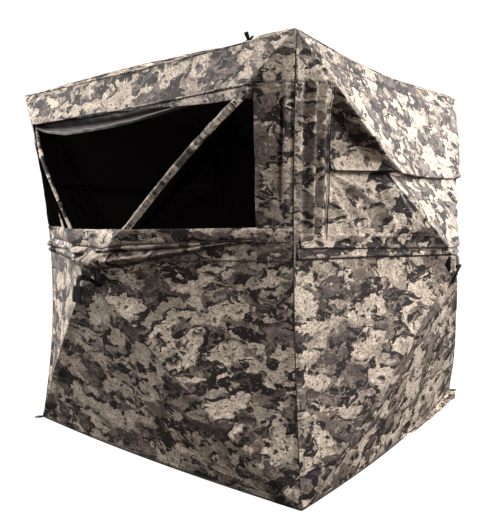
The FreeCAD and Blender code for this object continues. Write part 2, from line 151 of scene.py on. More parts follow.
class Side:
    """One wall or the roof, with its own axes."""

    def __init__(self, index, name, u, n):
        self.index = index
        self.name = name
        self.roof = name == "roof"
        self.u = np.array(u, float)
        self.n = np.array(n, float)
        self.v = np.cross(self.n, self.u)
        self.half_u = HALF_WIDTH
        self.half_v = HALF_WIDTH if self.roof else HALF_HEIGHT
        self.diagonal = math.hypot(self.half_u, self.half_v)
        self.rise = JOINTS[name + "_pop"]["range_m"][1] / 2
        self.edges = ROOF_EDGES if self.roof else WALL_EDGES
        up = np.array((0.0, 0.0, 1.0))
        self.centre = up * WALL_HEIGHT if self.roof else self.n * HALF_WIDTH + up * HALF_HEIGHT

    def world(self, u, v, n):
        u, v, n = np.broadcast_arrays(u, v, n)
        return self.centre + u[..., None] * self.u + v[..., None] * self.v + n[..., None] * self.n

    def edge_towards(self, sign_u, sign_v):
        return next(name for name, way in self.edges.items() if way == (sign_u, sign_v))

    def ridge_at(self, v):
        """How far from the middle the poles are at this height."""
        return abs(v) / self.half_v * self.half_u

    def past_ridge(self, u, v):
        """Distance from the line of an upper pole, positive towards the corner seam."""
        return (np.abs(u) * self.half_v - v * self.half_u) / self.diagonal

    def pole_line(self, sign_u, sign_v):
        """Start and end of the pole towards this corner, and its direction in the plane."""
        way = (sign_u * self.half_u * self.u + sign_v * self.half_v * self.v) / self.diagonal
        run = self.diagonal - POLE_CORNER_GAP
        start = self.centre + self.n * (self.rise - POLE_INSET) + way * POLE_START
        return start, self.centre - self.n * POLE_INSET + way * run, way


SIDES = {
    name: Side(i, name, u, n)
    for i, (name, u, n) in enumerate(
        [
            ("front", (1, 0, 0), (0, -1, 0)),
            ("right", (0, 1, 0), (1, 0, 0)),
            ("rear", (-1, 0, 0), (0, 1, 0)),
            ("left", (0, -1, 0), (-1, 0, 0)),
            ("roof", (1, 0, 0), (0, 0, 1)),
        ]
    )
}
WALLS = [side for side in SIDES.values() if not side.roof]


# ---- The stretched surface ------------------------------------------------------------
def smooth(x, low, high):
    """0 below low, 1 above high, and smooth between them."""
    k = np.clip((x - low) / (high - low), 0.0, 1.0)
    return k * k * (3 - 2 * k)


def hump(x, centre, width):
    """1 at the centre, and near 0 past the width."""
    return np.exp(-(((x - centre) / width) ** 2))


def cloud(x, y, seed):
    """Smooth random values from -1 to 1 over a plane, about one bump to a unit."""
    cell_x, cell_y = np.floor(x), np.floor(y)
    part_x, part_y = x - cell_x, y - cell_y
    part_x = part_x * part_x * (3 - 2 * part_x)
    part_y = part_y * part_y * (3 - 2 * part_y)

    def corner(i, j):
        k = np.sin((cell_x + i) * 12.9898 + (cell_y + j) * 78.233 + seed * 37.719) * 4375.5453
        return (k - np.floor(k)) * 2 - 1

    low = corner(0, 0) * (1 - part_x) + corner(1, 0) * part_x
    high = corner(0, 1) * (1 - part_x) + corner(1, 1) * part_x
    return low * (1 - part_y) + high * part_y


def tension_folds(side, u, v):
    """Folds beside the poles, fans out of the corners, and gentle unevenness everywhere."""
    seed = side.index * 11.0
    relief = 0.0045 * cloud(u / 0.24, v / 0.24, seed + 1)
    relief += 0.0020 * cloud(u / 0.085, v / 0.085, seed + 2)
    relief += 0.0007 * cloud(u / 0.03, v / 0.03, seed + 3)
    off_ridge = np.abs(np.abs(u) * side.half_v - np.abs(v) * side.half_u) / side.diagonal
    along_ridge = (np.abs(u) * side.half_u + np.abs(v) * side.half_v) / side.diagonal
    quarter = np.sign(u) + 2 * np.sign(v)
    ripple = cloud(off_ridge / 0.030, along_ridge / 0.32 + quarter * 9, seed + 4)
    relief += 0.0045 * ripple * np.exp(-off_ridge / 0.12) * smooth(off_ridge, 0.0, 0.02)
    from_u = side.half_u - np.abs(u)
    from_v = side.half_v - np.abs(v)
    reach = np.hypot(from_u, from_v)
    angle = np.arctan2(from_v, from_u)
    fan = cloud(angle * 8.0, reach / 0.5 + quarter * 5, seed + 5)
    relief += 0.0050 * fan * smooth(reach, 0.02, 0.15) * np.exp(-reach / 0.30)
    return relief


# Upright pleats beside a corner seam: (height, distance from the seam, width).
FRONT_PLEATS = ((0.010, 0.023, 0.008), (-0.005, 0.039, 0.007), (-0.003, 0.009, 0.005))
SIDE_PLEATS = ((0.016, 0.058, 0.011), (-0.007, 0.036, 0.008), (0.011, 0.097, 0.011), (-0.006, 0.078, 0.007))
PLEAT_STEP = 0.0005
PLEAT_PLACES = np.arange(0.0, 0.16, PLEAT_STEP)


def pleats(side, from_seam):
    kinds = FRONT_PLEATS if side.name == "front" else SIDE_PLEATS
    return sum(height * hump(from_seam, place, width) for height, place, width in kinds)


def pleat_run(side, v):
    """Where up the wall the pleats stand."""
    if side.name == "front":
        return smooth(v, 0.14, 0.3) * (1 - smooth(v, 0.5, 0.62))
    return smooth(v, BELT_HIGH, BELT_HIGH + 0.03) * (1 - smooth(v, 0.57, 0.61))


def pleat_cloth(side, u, v):
    """Extra cloth that the pleats take up between this place and the wall's middle."""
    if side.name not in ("front", "right", "left"):
        return 0.0 * u
    slope = np.gradient(pleats(side, PLEAT_PLACES), PLEAT_STEP)
    extra = np.cumsum(np.hypot(1.0, slope) - 1) * PLEAT_STEP
    left_over = extra[-1] - np.interp(side.half_u - np.abs(u), PLEAT_PLACES, extra)
    return left_over * pleat_run(side, v)


def foot_crumples(side, u, v, seed):
    """Level crumples along the foot of a wall, which fade upward."""
    return np.exp(-(v + side.half_v) / 0.06) * cloud(u / 0.15, v / 0.022, seed)


def front_relief(side, u, v):
    """Vertical folds on the pillars, a crease from the hub, and crumples along the foot."""
    from_seam = side.half_u - np.abs(u)
    relief = pleats(side, from_seam) * pleat_run(side, v)
    left = smooth(-u, PILLAR_EDGE - 0.02, PILLAR_EDGE + 0.01) * smooth(from_seam, 0.0, 0.119)
    relief += 0.038 * left * np.maximum(0.0, 1 - (v / 0.62) ** 2) * smooth(v, 0.12, 0.18)
    along = (u * side.half_u - v * side.half_v) / side.diagonal
    off = (u * side.half_v + v * side.half_u) / side.diagonal
    relief += -0.006 * hump(off, -0.012, 0.008) * smooth(along, 0.05, 0.1) * (1 - smooth(along, 0.2, 0.3))
    relief += 0.0055 * foot_crumples(side, u, v, 31.0)
    corner = smooth(u, 0.45, 0.7) * (1 - smooth(v, -0.6, -0.3))
    relief += 0.004 * corner * cloud(u / 0.2 + v, v / 0.03, 33.0)
    return relief


def eave_stitch_line(side, u):
    """Level sewn line under the roof seam of a side wall."""
    return EAVE_STITCH + EAVE_BOW[side.name] * np.maximum(0.0, 1 - (u / 0.66) ** 2)


def between_zips(u):
    return smooth(ZIP_AT - np.abs(u), -0.002, 0.03)


def above_window_seam(v):
    return smooth(v, WINDOW_SEAM - 0.005, WINDOW_SEAM + 0.05)


def window_depth(side, u, v):
    """How far a closed side window hangs in behind the upper poles."""
    if side.name not in ("right", "left"):
        return 0.0 * u
    off_ridge = side.past_ridge(u, v)
    window = between_zips(u) * above_window_seam(v)
    return 0.066 * window * smooth(off_ridge, 0.002, 0.018) * np.exp(-np.maximum(off_ridge, 0) / 0.30)


def wall_relief(side, u, v):
    """Closed windows, folds at the corners, and folds that fan out of the window's corner."""
    inside = ZIP_AT - np.abs(u)
    window = between_zips(u) * above_window_seam(v)
    relief = -window_depth(side, u, v)
    relief += pleats(side, side.half_u - np.abs(u)) * pleat_run(side, v)
    drag = cloud((v + 0.5 * np.abs(u)) / 0.055, (v - 0.5 * np.abs(u)) / 0.30, 5.0 + side.index)
    relief += 0.0030 * drag * smooth(v, WINDOW_SEAM - 0.1, WINDOW_SEAM + 0.15)
    spread = cloud((v + 1.6 * u) / 0.05, (v - u) / 0.4, 25.0 + side.index)
    relief += 0.0055 * spread * window * (1 - smooth(v, WINDOW_SEAM - 0.05, WINDOW_SEAM + 0.1))
    between = between_zips(u) * smooth(v, BELT_HIGH, BELT_HIGH + 0.03)
    between = between * (1 - smooth(v, WINDOW_SEAM - 0.004, WINDOW_SEAM + 0.004))
    lean = np.clip((WINDOW_SEAM - v) / (WINDOW_SEAM - BELT_HIGH), 0.0, 1.0) - 0.6
    rearward = u if side.name == "right" else -u
    relief += 0.045 * lean * between * (1 - smooth(rearward, -0.25, 0.30))
    relief += -0.010 * hump(side.past_ridge(u, v), 0.0, 0.045) * between
    from_zip, below = inside + 0.02, WINDOW_SEAM + 0.03 - v
    turn = np.arctan2(np.maximum(below, 0.001), np.maximum(from_zip, 0.001))
    far = np.hypot(from_zip, below)
    fan = np.cos(turn * 10.0 + 1.2) + 0.5 * np.cos(turn * 23.0)
    relief += 0.0125 * fan * between * smooth(far, 0.03, 0.14) * np.exp(-far / 0.30)
    middle = smooth(v, BELT_HIGH, 0.2) * (1 - smooth(v, 0.25, WINDOW_SEAM))
    relief += 0.0060 * spread * middle * smooth(inside, 0.0, 0.05)
    relief += 0.004 * foot_crumples(side, u, v, 37.0)
    return relief - 0.005 * hump(v, eave_stitch_line(side, u), 0.006)


def bow_share(side, reach, u):
    """How much of a seam's bow is left at this reach; none where the door hangs."""
    share = 1 - reach
    if side.name == "rear":
        share = np.where(u > 0, 1 - smooth(reach, 0.0, DOOR_HINGE / side.half_u), share)
    return share


def eave_bow(side, u, v, on_flank):
    """Bow of the roof seam that bounds this part of a wall or of the roof."""
    if not side.roof:
        return EAVE_BOW[side.name]
    beside = np.where(u > 0, EAVE_BOW["right"], EAVE_BOW["left"])
    ends = np.where(v > 0, EAVE_BOW["rear"], EAVE_BOW["front"])
    return np.where(on_flank, beside, ends)


def surface(side, u, v, lift=0.0):
    """Where the outer face of the stretched fabric is, for points on the side's own plane."""
    u, v = np.broadcast_arrays(np.asarray(u, float), np.asarray(v, float))
    across, upright = np.abs(u) / side.half_u, np.abs(v) / side.half_v
    on_flank = across >= upright
    reach = 1 - np.maximum(across, upright)
    span = np.where(on_flank, v / side.half_v, u / side.half_u)
    span = np.clip(span / np.maximum(1 - reach, 1e-6), -1, 1)
    open_span = 1 - span**2
    bulge = 4 * reach * (1 - reach)
    n = side.rise * reach
    n = n + RIDGE_BOW * bulge * np.abs(span) ** 2.5 - MIDDLE_SAG * bulge * open_span
    eave = eave_bow(side, u, v, on_flank)
    flank = open_span * bow_share(side, reach, u) * (eave if side.roof else CORNER_BOW)
    new_u = u - np.where(on_flank, np.sign(u) * flank, 0.0)
    n = n - np.where(on_flank, flank, 0.0)
    arch = open_span * (1 - reach)
    under_eave = ~on_flank & (side.roof | (v > 0))
    new_v = v - np.where(under_eave, np.sign(v) * eave * arch, 0.0)
    n = n - np.where(under_eave, eave * arch, 0.0)
    if not side.roof:
        n = n + np.where(~on_flank & (v < 0), HEM_BOW[side.name] * arch, 0.0)
    relief = tension_folds(side, u, v)
    if side.name == "front":
        relief = relief + front_relief(side, u, v)
    elif side.name in ("right", "left"):
        relief = relief + wall_relief(side, u, v)
    edge = smooth(reach * HALF_WIDTH, 0.0, 0.018)
    near_hub = smooth(np.hypot(u, v), 0.03, 0.10)
    return side.world(new_u, new_v, n + relief * edge * near_hub + lift)


# ---- Materials ------------------------------------------------------------------------
class Nodes:
    """A material's node tree, with short calls to add and join nodes."""

    def __init__(self, name):
        self.material = bpy.data.materials.new(name)
        self.material.use_nodes = True
        self.tree = self.material.node_tree
        self.shader = self.tree.nodes["Principled BSDF"]

    def add(self, kind, **values):
        """A new node; values are its settings, or else its inputs by name."""
        node = self.tree.nodes.new(kind)
        for key, value in values.items():
            if hasattr(node, key):
                setattr(node, key, value)
            else:
                node.inputs[key.replace("_", " ")].default_value = value
        return node

    def put(self, value, socket):
        """Joins an output to the socket, or sets the socket to a number or a colour."""
        if isinstance(value, bpy.types.NodeSocket):
            self.tree.links.new(value, socket)
        elif isinstance(value, tuple):
            socket.default_value = (*value, 1.0)
        else:
            socket.default_value = value

    def shade(self, **values):
        for key, value in values.items():
            self.put(value, self.shader.inputs[key.replace("_", " ")])

    def noise(self, where, scale, detail=4.0, rough=0.55, distortion=0.0):
        node = self.add(
            "ShaderNodeTexNoise", Scale=scale, Detail=detail, Roughness=rough, Distortion=distortion
        )
        self.put(where, node.inputs["Vector"])
        return node.outputs["Fac"]

    def vector(self, operation, where, factor):
        """Vector maths with a constant factor."""
        node = self.add("ShaderNodeVectorMath", operation=operation)
        self.put(where, node.inputs[0])
        node.inputs[1].default_value = factor
        return node.outputs[0]

    def moved(self, where, x, y):
        return self.vector("ADD", where, (x, y, 0))

    def warped(self, where, scale, amount):
        """The same places, pushed about by noise, so that shapes get lobes."""
        push = self.add("ShaderNodeTexNoise", Scale=scale, Detail=2.0)
        self.put(where, push.inputs["Vector"])
        sized = self.add("ShaderNodeVectorMath", operation="SCALE", Scale=amount)
        self.put(push.outputs["Color"], sized.inputs[0])
        node = self.add("ShaderNodeVectorMath", operation="ADD")
        self.put(where, node.inputs[0])
        self.put(sized.outputs[0], node.inputs[1])
        return node.outputs[0]

    def between(self, value, low, high):
        """0 below low, 1 above high."""
        node = self.add("ShaderNodeMapRange", interpolation_type="SMOOTHSTEP")
        self.put(value, node.inputs["Value"])
        node.inputs["From Min"].default_value = low
        node.inputs["From Max"].default_value = high
        return node.outputs["Result"]

    def mix(self, share, a, b, mode="MIX"):
        node = self.add("ShaderNodeMix", data_type="RGBA", blend_type=mode)
        self.put(share, node.inputs[0])
        self.put(a, node.inputs[6])
        self.put(b, node.inputs[7])
        return node.outputs[2]

    def maths(self, operation, a, b=0.0):
        node = self.add("ShaderNodeMath", operation=operation)
        self.put(a, node.inputs[0])
        self.put(b, node.inputs[1])
        return node.outputs[0]

    def scaled(self, value, span, low):
        return self.maths("ADD", self.maths("MULTIPLY", value, span), low)

    def bump(self, height, strength, distance, normal=None):
        node = self.add("ShaderNodeBump", Strength=strength, Distance=distance)
        self.put(height, node.inputs["Height"])
        if normal is not None:
            self.put(normal, node.inputs["Normal"])
        return node.outputs["Normal"]

    def cloth_place(self):
        """Places along the cloth in metres, kept with the mesh as it bends."""
        return self.add("ShaderNodeAttribute", attribute_name="cloth").outputs["Vector"]

    def object_place(self):
        return self.add("ShaderNodeTexCoord").outputs["Object"]

    def weave(self, where, threads):
        """Height of a plain weave with this many threads to a metre."""
        split = self.add("ShaderNodeSeparateXYZ")
        self.put(where, split.inputs[0])
        warp = self.maths("SINE", self.maths("MULTIPLY", split.outputs[0], threads * math.pi))
        weft = self.maths("SINE", self.maths("MULTIPLY", split.outputs[1], threads * math.pi))
        return self.maths("MULTIPLY", warp, weft)


CLOTH_THREADS = 900.0  # to a metre
CAMO_LIGHT = (0.360, 0.293, 0.232)
CAMO_PALE = (0.238, 0.190, 0.149)
CAMO_MID = (0.122, 0.093, 0.076)
CAMO_GREY = (0.058, 0.043, 0.038)
CAMO_DARK = (0.0110, 0.0075, 0.0070)


def camo_material():
    """Generic broken camouflage print, in layers from the ground colour up."""
    m = Nodes("camo_fabric")
    place = m.cloth_place()
    squeezed = m.vector("MULTIPLY", place, (0.84, 1.12, 1.0))
    bent = m.warped(m.warped(squeezed, 13.0, 0.085), 40.0, 0.016)

    def field(x, y, scale, detail=3.0, rough=0.5):
        return m.noise(m.moved(bent, x, y), scale, detail, rough)

    hole = field(6.2, 4.4, 21.0, detail=4.0)
    speck = field(5.3, 2.1, 62.0, detail=4.0, rough=0.70)
    layers = (  # (where, from, to, colour); a shadow is its patch, slightly moved
        (field(0.0, 0.0, 12.0), 0.475, 0.490, CAMO_MID),
        (field(8.1, 5.9, 11.0), 0.520, 0.535, CAMO_DARK),
        (field(3.713, 1.286, 13.0), 0.545, 0.560, CAMO_DARK),
        (field(3.7, 1.3, 13.0), 0.550, 0.560, CAMO_PALE),
        (field(1.912, 7.686, 12.5, detail=4.0, rough=0.55), 0.526, 0.541, CAMO_DARK),
        (field(1.9, 7.7, 12.5, detail=4.0, rough=0.55), 0.528, 0.538, CAMO_LIGHT),
        (hole, 0.590, 0.605, CAMO_MID),
        (hole, 0.640, 0.655, CAMO_DARK),
        (speck, 0.585, 0.620, CAMO_GREY),
        (speck, 0.385, 0.350, CAMO_PALE),
    )
    colour = CAMO_GREY
    for where, low, high, over in layers:
        colour = m.mix(m.between(where, low, high), colour, over)
    grain = m.scaled(m.noise(place, 110.0, detail=5.0, rough=0.75), 4.2, -1.10)
    faded = m.scaled(m.noise(m.moved(place, 2.2, 6.1), 24.0, detail=5.0, rough=0.65), 2.2, -0.10)
    grain = m.maths("MAXIMUM", m.maths("MULTIPLY", grain, faded), 0.25)
    grey = m.add("ShaderNodeCombineColor")
    for socket in grey.inputs[:3]:
        m.put(grain, socket)
    colour = m.mix(1.0, colour, grey.outputs[0], mode="MULTIPLY")
    worn = m.noise(place, 12.0, detail=3.0)
    creases = m.noise(place, 46.0, detail=5.0, rough=0.6, distortion=0.6)
    normal = m.bump(m.weave(place, CLOTH_THREADS), 0.25, 0.0004)
    normal = m.bump(creases, 0.45, 0.005, normal)
    m.shade(Base_Color=colour, Roughness=m.scaled(worn, 0.25, 0.55), Normal=normal)
    m.shade(Specular_IOR_Level=0.20)
    return m.material


def lining_material(name, base, low, span, crease, shine=0.15):
    """Coated or bound cloth: a weave under creases, with an uneven shine."""
    m = Nodes(name)
    place = m.cloth_place()
    tone = m.noise(place, 9.0, detail=5.0)
    colour = m.mix(tone, tuple(c * 0.75 for c in base), tuple(c * 1.3 for c in base))
    worn = m.noise(place, 25.0, detail=4.0)
    folds = m.noise(place, 40.0, detail=5.0, distortion=0.8)
    normal = m.bump(m.weave(place, CLOTH_THREADS), 0.2, 0.0004)
    normal = m.bump(folds, crease, 0.004, normal)
    m.shade(Base_Color=colour, Roughness=m.scaled(worn, span, low), Normal=normal)
    m.shade(Specular_IOR_Level=shine)
    return m.material


def webbing_material():
    """Black webbing: cross ribs under a fine fuzz, greyer where it rubs."""
    m = Nodes("black_webbing")
    place = m.cloth_place()
    fuzz = m.noise(place, 260.0, detail=4.0)
    colour = m.mix(fuzz, (0.003, 0.0026, 0.0026), (0.011, 0.0100, 0.0098))
    worn = m.noise(place, 60.0)
    normal = m.bump(m.weave(place, 420.0), 0.6, 0.0009)
    m.shade(Base_Color=colour, Roughness=m.scaled(worn, 0.2, 0.6), Normal=normal)
    m.shade(Specular_IOR_Level=0.05)
    return m.material


def plastic_material(name, base, low, grain_scale, coat):
    """Moulded or pultruded plastic with a fine grain and faint scuffs."""
    m = Nodes(name)
    place = m.object_place()
    scuff = m.noise(place, 35.0, detail=6.0, rough=0.7)
    colour = m.mix(m.between(scuff, 0.55, 0.75), base, tuple(c * 1.9 for c in base))
    grain = m.noise(place, grain_scale, detail=3.0)
    normal = m.bump(grain, 0.25, 0.0004)
    m.shade(Base_Color=colour, Roughness=m.scaled(scuff, 0.25, low), Normal=normal)
    m.shade(Coat_Weight=coat, Specular_IOR_Level=0.2)
    return m.material


def metal_material():
    """Dark plated metal, brighter where the plating has worn."""
    m = Nodes("dark_metal")
    worn = m.noise(m.object_place(), 120.0, detail=5.0, rough=0.65)
    colour = m.mix(m.between(worn, 0.52, 0.68), (0.09, 0.085, 0.08), (0.32, 0.31, 0.29))
    m.shade(Base_Color=colour, Roughness=m.scaled(worn, 0.3, 0.2), Normal=m.bump(worn, 0.2, 0.0003))
    m.shade(Metallic=0.9)
    return m.material


CAMO = camo_material()
LINING = lining_material("black_lining", (0.050, 0.034, 0.035), 0.75, 0.2, 0.3)
CURTAIN = lining_material("black_curtain", (0.050, 0.040, 0.040), 0.32, 0.2, 0.35, 0.25)
BINDING = lining_material("dark_binding", (0.030, 0.026, 0.024), 0.6, 0.2, 0.4)
THREAD = lining_material("sewing_thread", (0.060, 0.052, 0.047), 0.5, 0.2, 0.1)
WEBBING = webbing_material()
ROD = plastic_material("fibreglass", (0.018, 0.018, 0.019), 0.28, 420.0, 0.2)
POLYMER = plastic_material("hub_polymer", (0.010, 0.010, 0.0105), 0.48, 900.0, 0.0)
METAL = metal_material()


# ---- Making pieces --------------------------------------------------------------------
def thicken(piece, thickness, offset):
    solid = piece.modifiers.new("cloth", "SOLIDIFY")
    solid.thickness = thickness
    solid.offset = offset
    return solid


def grid(rows, columns, start=0.0):
    """A column of shares from 0 to 1, and a row of shares from start to 1."""
    return np.linspace(0, 1, rows)[:, None], np.linspace(start, 1, columns)[None, :]


def circle(count):
    """Angles all round."""
    return np.linspace(0, 2 * math.pi, count, endpoint=False)


class Cut:
    """Grids of points gathered into one mesh, with places along the cloth."""

    def __init__(self):
        self.points = []
        self.cloth = []
        self.faces = []
        self.count = 0

    def add(self, points, cloth=None, close=False):
        """Rows of points; close joins the last column to the first."""
        rows, columns = points.shape[:2]
        if cloth is None:
            cloth = points
        for i in range(rows - 1):
            for j in range(columns if close else columns - 1):
                a = self.count + i * columns + j
                b = self.count + i * columns + (j + 1) % columns
                self.faces.append((a, b, b + columns, a + columns))
        flat = np.zeros((rows * columns, 3))
        flat[:, : cloth.shape[-1]] = cloth.reshape(-1, cloth.shape[-1])
        self.points.append(points.reshape(-1, 3))
        self.cloth.append(flat)
        self.count += rows * columns

    def build(self, name, materials, outward=None, thickness=0.0):
        """Weld, face outward, shade smooth and give the sheet its thickness."""
        mesh = bpy.data.meshes.new(name)
        mesh.from_pydata(np.concatenate(self.points).tolist(), [], self.faces)
        place = mesh.attributes.new("cloth", "FLOAT_VECTOR", "POINT")
        place.data.foreach_set("vector", np.concatenate(self.cloth).astype(np.float32).ravel())
        work = bmesh.new()
        work.from_mesh(mesh)
        bmesh.ops.remove_doubles(work, verts=work.verts, dist=1e-5)
        if outward is None:
            bmesh.ops.recalc_face_normals(work, faces=work.faces)
        else:
            facing = sum((f.normal * f.calc_area() for f in work.faces), Vector())
            if facing.dot(Vector(outward)) < 0:
                bmesh.ops.reverse_faces(work, faces=work.faces)
        for face in work.faces:
            face.smooth = True
        work.to_mesh(mesh)
        work.free()
        for material in materials:
            mesh.materials.append(material)
        piece = linked(name, mesh)
        if thickness:
            thicken(piece, thickness, -1).material_offset = len(materials) - 1
        return piece


def cloth_places(side, u, v):
    """Places along the printed cloth; every side is cut from another stretch of the roll."""
    depth = window_depth(side, u, v)
    deep = depth / side.diagonal
    along = deep * side.half_v + pleat_cloth(side, u, v)
    steepness = 1 / np.maximum(above_window_seam(v), 0.05) - 1
    drop = 0.45 * depth * steepness * (v > WINDOW_SEAM - 0.004)
    u, v = u + np.sign(u) * along, v - deep * side.half_u - drop
    return np.stack([u + side.index * 3.1 + 0.37, v + side.index * 1.7], axis=-1)


def patch(name, side, u, v, lift=0.0, materials=None, thickness=CLOTH, close=False, moved=(0, 0)):
    """A piece of fabric that follows the stretched surface; moved shifts its print."""
    u, v = np.broadcast_arrays(u, v)
    cut = Cut()
    cut.add(surface(side, u, v, lift), cloth_places(side, u, v) + np.array(moved), close)
    return cut.build(name, materials or [CAMO, LINING], side.n, thickness)


def turn_with_panel(piece, side, edge):
    """Bakes the piece's placing into its mesh; the way in from the seam is worked out, but nothing turns
    the piece.
    """
    sign_u, sign_v = side.edges[edge]
    way = side.u * sign_u + side.v * sign_v
    depth = side.half_u if sign_u else side.half_v
    inward = side.n * side.rise - way * depth
    inward = inward / np.linalg.norm(inward)
    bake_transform(piece)


def carry(piece, node, slot, *stands_for):
    """Rides with a node, and takes the place of the frame's nodes that are named."""
    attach(piece, node)
    if stands_for:
        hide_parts(*stands_for)


def declare_sheet(piece, side):
    """Works out a sheet's size from what the finished mesh measures, as there is no cutting plan; nothing
    uses the result.

    Width and length are its extents along the side's axes, so a sloping panel's length is
    the projected one. Where the mesh fills under 0.35 of that rectangle, the length isn't
    measured: it is set so that the mesh fills half. The area is the mesh's own.
    """
    points = np.array([v.co for v in piece.data.vertices])
    along = np.ptp(points @ side.u)
    up = max(np.ptp(points @ side.v), np.ptp(points @ side.n))
    area = sum(face.area for face in piece.data.polygons)
    width = max(along, 0.02)
    length = max(up, area / width, 0.02)
    if area < 0.35 * width * length:
        length = area / (0.5 * width)


def finish_fabric(piece, side, edge, nodes=()):
    """A fabric piece that belongs to one panel."""
    turn_with_panel(piece, side, edge)
    if nodes:
        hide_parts(*nodes)
    declare_sheet(piece, side)


def distances(points):
    """Distance along a line of points, at each of them."""
    return np.concatenate([[0], np.cumsum(np.linalg.norm(np.diff(points, axis=0), axis=1))])


def tube(cut, path, half_a, half_b, direction, square=1.0, around=14, shift=0.0):
    """A tube along a path; half_a is its half-width along direction, half_b across it."""
    path = np.asarray(path, float)
    tangent = np.gradient(path, axis=0)
    tangent /= np.linalg.norm(tangent, axis=1)[:, None]
    side_way = direction - (tangent @ direction)[:, None] * tangent
    side_way /= np.linalg.norm(side_way, axis=1)[:, None]
    over = np.cross(tangent, side_way)
    half_a = np.broadcast_to(half_a, len(path))[:, None, None]
    half_b = np.broadcast_to(half_b, len(path))[:, None, None]
    cos, sin = np.cos(circle(around)), np.sin(circle(around))
    cos = (np.sign(cos) * np.abs(cos) ** square)[None, :, None]
    sin = (np.sign(sin) * np.abs(sin) ** square)[None, :, None]
    ring = path[:, None] + half_a * cos * side_way[:, None] + half_b * sin * over[:, None]
    width = half_a[:, :, 0] * cos[:, :, 0] + half_b[:, :, 0] * sin[:, :, 0] * 0.7
    along = np.broadcast_to(distances(path)[:, None] + shift, width.shape)
    cloth = np.stack([along, width + shift], -1)
    cut.add(ring, cloth, close=True)
    for end in (0, -1):
        cap = np.stack([ring[end], np.broadcast_to(path[end], ring[end].shape)])
        cut.add(cap, np.stack([cloth[end], cloth[end]]), close=True)


def resample(points, step):
    """Points this far apart along a line of points."""
    points = np.asarray(points, float)
    along = distances(points)
    count = max(2, int(round(along[-1] / step)) + 1)
    wanted = np.linspace(0, along[-1], count)
    return np.stack([np.interp(wanted, along, points[:, i]) for i in range(points.shape[1])], -1)


# ---- Stitching ------------------------------------------------------------------------
STITCH_STEP = 0.0075
PAINTED_SHADE_STEP = 0.006
SEWING = {}  # the stitches and the painted shade lines of each panel
# painted shade: dark lining tubes along the creases, where shadow falls
PAINTED_SHADE_CUTS = {}


def add_stitches(cut, points, normal):
    """A run of stitches: small raised threads, each nearly a step long."""
    for start, end in zip(points[:-1], points[1:]):
        along = end - start
        across = np.cross(along, normal)
        across *= 0.00065 / max(np.linalg.norm(across), 1e-9)
        first, last = start + along * 0.12, end - along * 0.12
        middle = (first + last) / 2 + normal * 0.0008
        rows = np.array([[first, middle - across, last], [first, middle + across, last]])
        cut.add(rows)


def line_on(side, u, v, step, lift):
    """Evenly spaced places on the surface, along a line of plane coordinates."""
    points = resample(np.stack(np.broadcast_arrays(u, v), -1), step)
    return surface(side, points[:, 0], points[:, 1], lift)


def sew(side, edge, u, v, lift=0.0005):
    """Stitches along a line on one panel."""
    cut = SEWING.setdefault((side.name, edge), Cut())
    add_stitches(cut, line_on(side, u, v, STITCH_STEP, lift), side.n)


def finish_sewing():
    for (name, edge), cut in SEWING.items():
        piece = cut.build(f"{name}_{edge}_stitching", [THREAD], SIDES[name].n)
        turn_with_panel(piece, SIDES[name], edge)


def painted_shade_line(side, ends, height, lift, width=0.0045):
    """Painted shade: a dark tube in the lining's colour along a fold across a side, where its shadow falls;
    height(u) is where it runs.
    """
    middle = float(height(np.array([sum(ends) / 2]))[0])
    for edge, low, high in split_at_poles(side, *ends, middle):
        u = np.linspace(low, high, 90)
        cut = PAINTED_SHADE_CUTS.setdefault((side.name, edge), Cut())
        path = line_on(side, u, height(u), PAINTED_SHADE_STEP, lift)
        tube(cut, path, 0.0010, width / 2, side.n, around=10)


def finish_painted_shade():
    for (name, edge), cut in PAINTED_SHADE_CUTS.items():
        # the painted shade lines, built in the lining's colour
        piece = cut.build(f"{name}_{edge}_fold_lines", [LINING])
        turn_with_panel(piece, SIDES[name], edge)


def sew_panel_borders():
    """Two rows beside every seam, and one beside every pole that has cloth over it."""
    for side in SIDES.values():
        for edge, (sign_u, _) in side.edges.items():
            for inset in (0.009, 0.017):
                span = np.linspace(-0.985, 0.985, 60)
                sew(side, edge, *panel_point(side, edge, inset / HALF_WIDTH, span))
            window = side.name == "front" and edge != "bottom"
            for turn in (-1, 1):
                if window and (turn > 0 or not sign_u):
                    continue
                reach = np.linspace(0.06, 0.9, 60)
                span = turn * (1 - 0.011 / (1 - reach))
                sew(side, edge, *panel_point(side, edge, reach, span))


# ---- Wall and roof panels -------------------------------------------------------------
FLANKS = (("left", -1), ("right", 1))
PILLAR_PRINT = {"left": (0.0, 0.0), "right": (0.52, 0.33)}  # each is cut from its own stretch


def panel_point(side, edge, reach, span):
    """Plane coordinates of a point of a triangular panel, from its seam to the hub."""
    sign_u, sign_v = side.edges[edge]
    if sign_u:
        return sign_u * side.half_u * (1 - reach), side.half_v * (1 - reach) * span
    return side.half_u * (1 - reach) * span, sign_v * side.half_v * (1 - reach)


def whole_panel(side, edge):
    """One triangle of wall or roof, finer where the camera sees it."""
    rows, columns = (150, 300) if side.name in ("front", "right") else (64, 110)
    reach, span = grid(rows, columns, -1)
    u, v = panel_point(side, edge, reach**1.5, span)
    piece = patch(f"{side.name}_{edge}_fabric", side, u, v)
    finish_fabric(piece, side, edge, [f"{side.name}_{edge}_panel"])


def pillar_edge(v, sign):
    """Inner edge of a front pillar; the left one is cut to end up straight on the bowed wall."""
    if sign > 0:
        return PILLAR_EDGE - 0.004 + 0 * v
    span = v / HALF_HEIGHT / (PILLAR_EDGE / HALF_WIDTH)
    return PILLAR_EDGE + CORNER_BOW * 0.85 * np.maximum(0.0, 1 - span**2)


def brow_edge(u):
    """Lower edge of the brow, which ends up nearly level on the bowed wall."""
    return BROW_EDGE + EAVE_BOW["front"] * 0.82 * np.maximum(0.0, 1 - (u / BROW_HALF) ** 2)


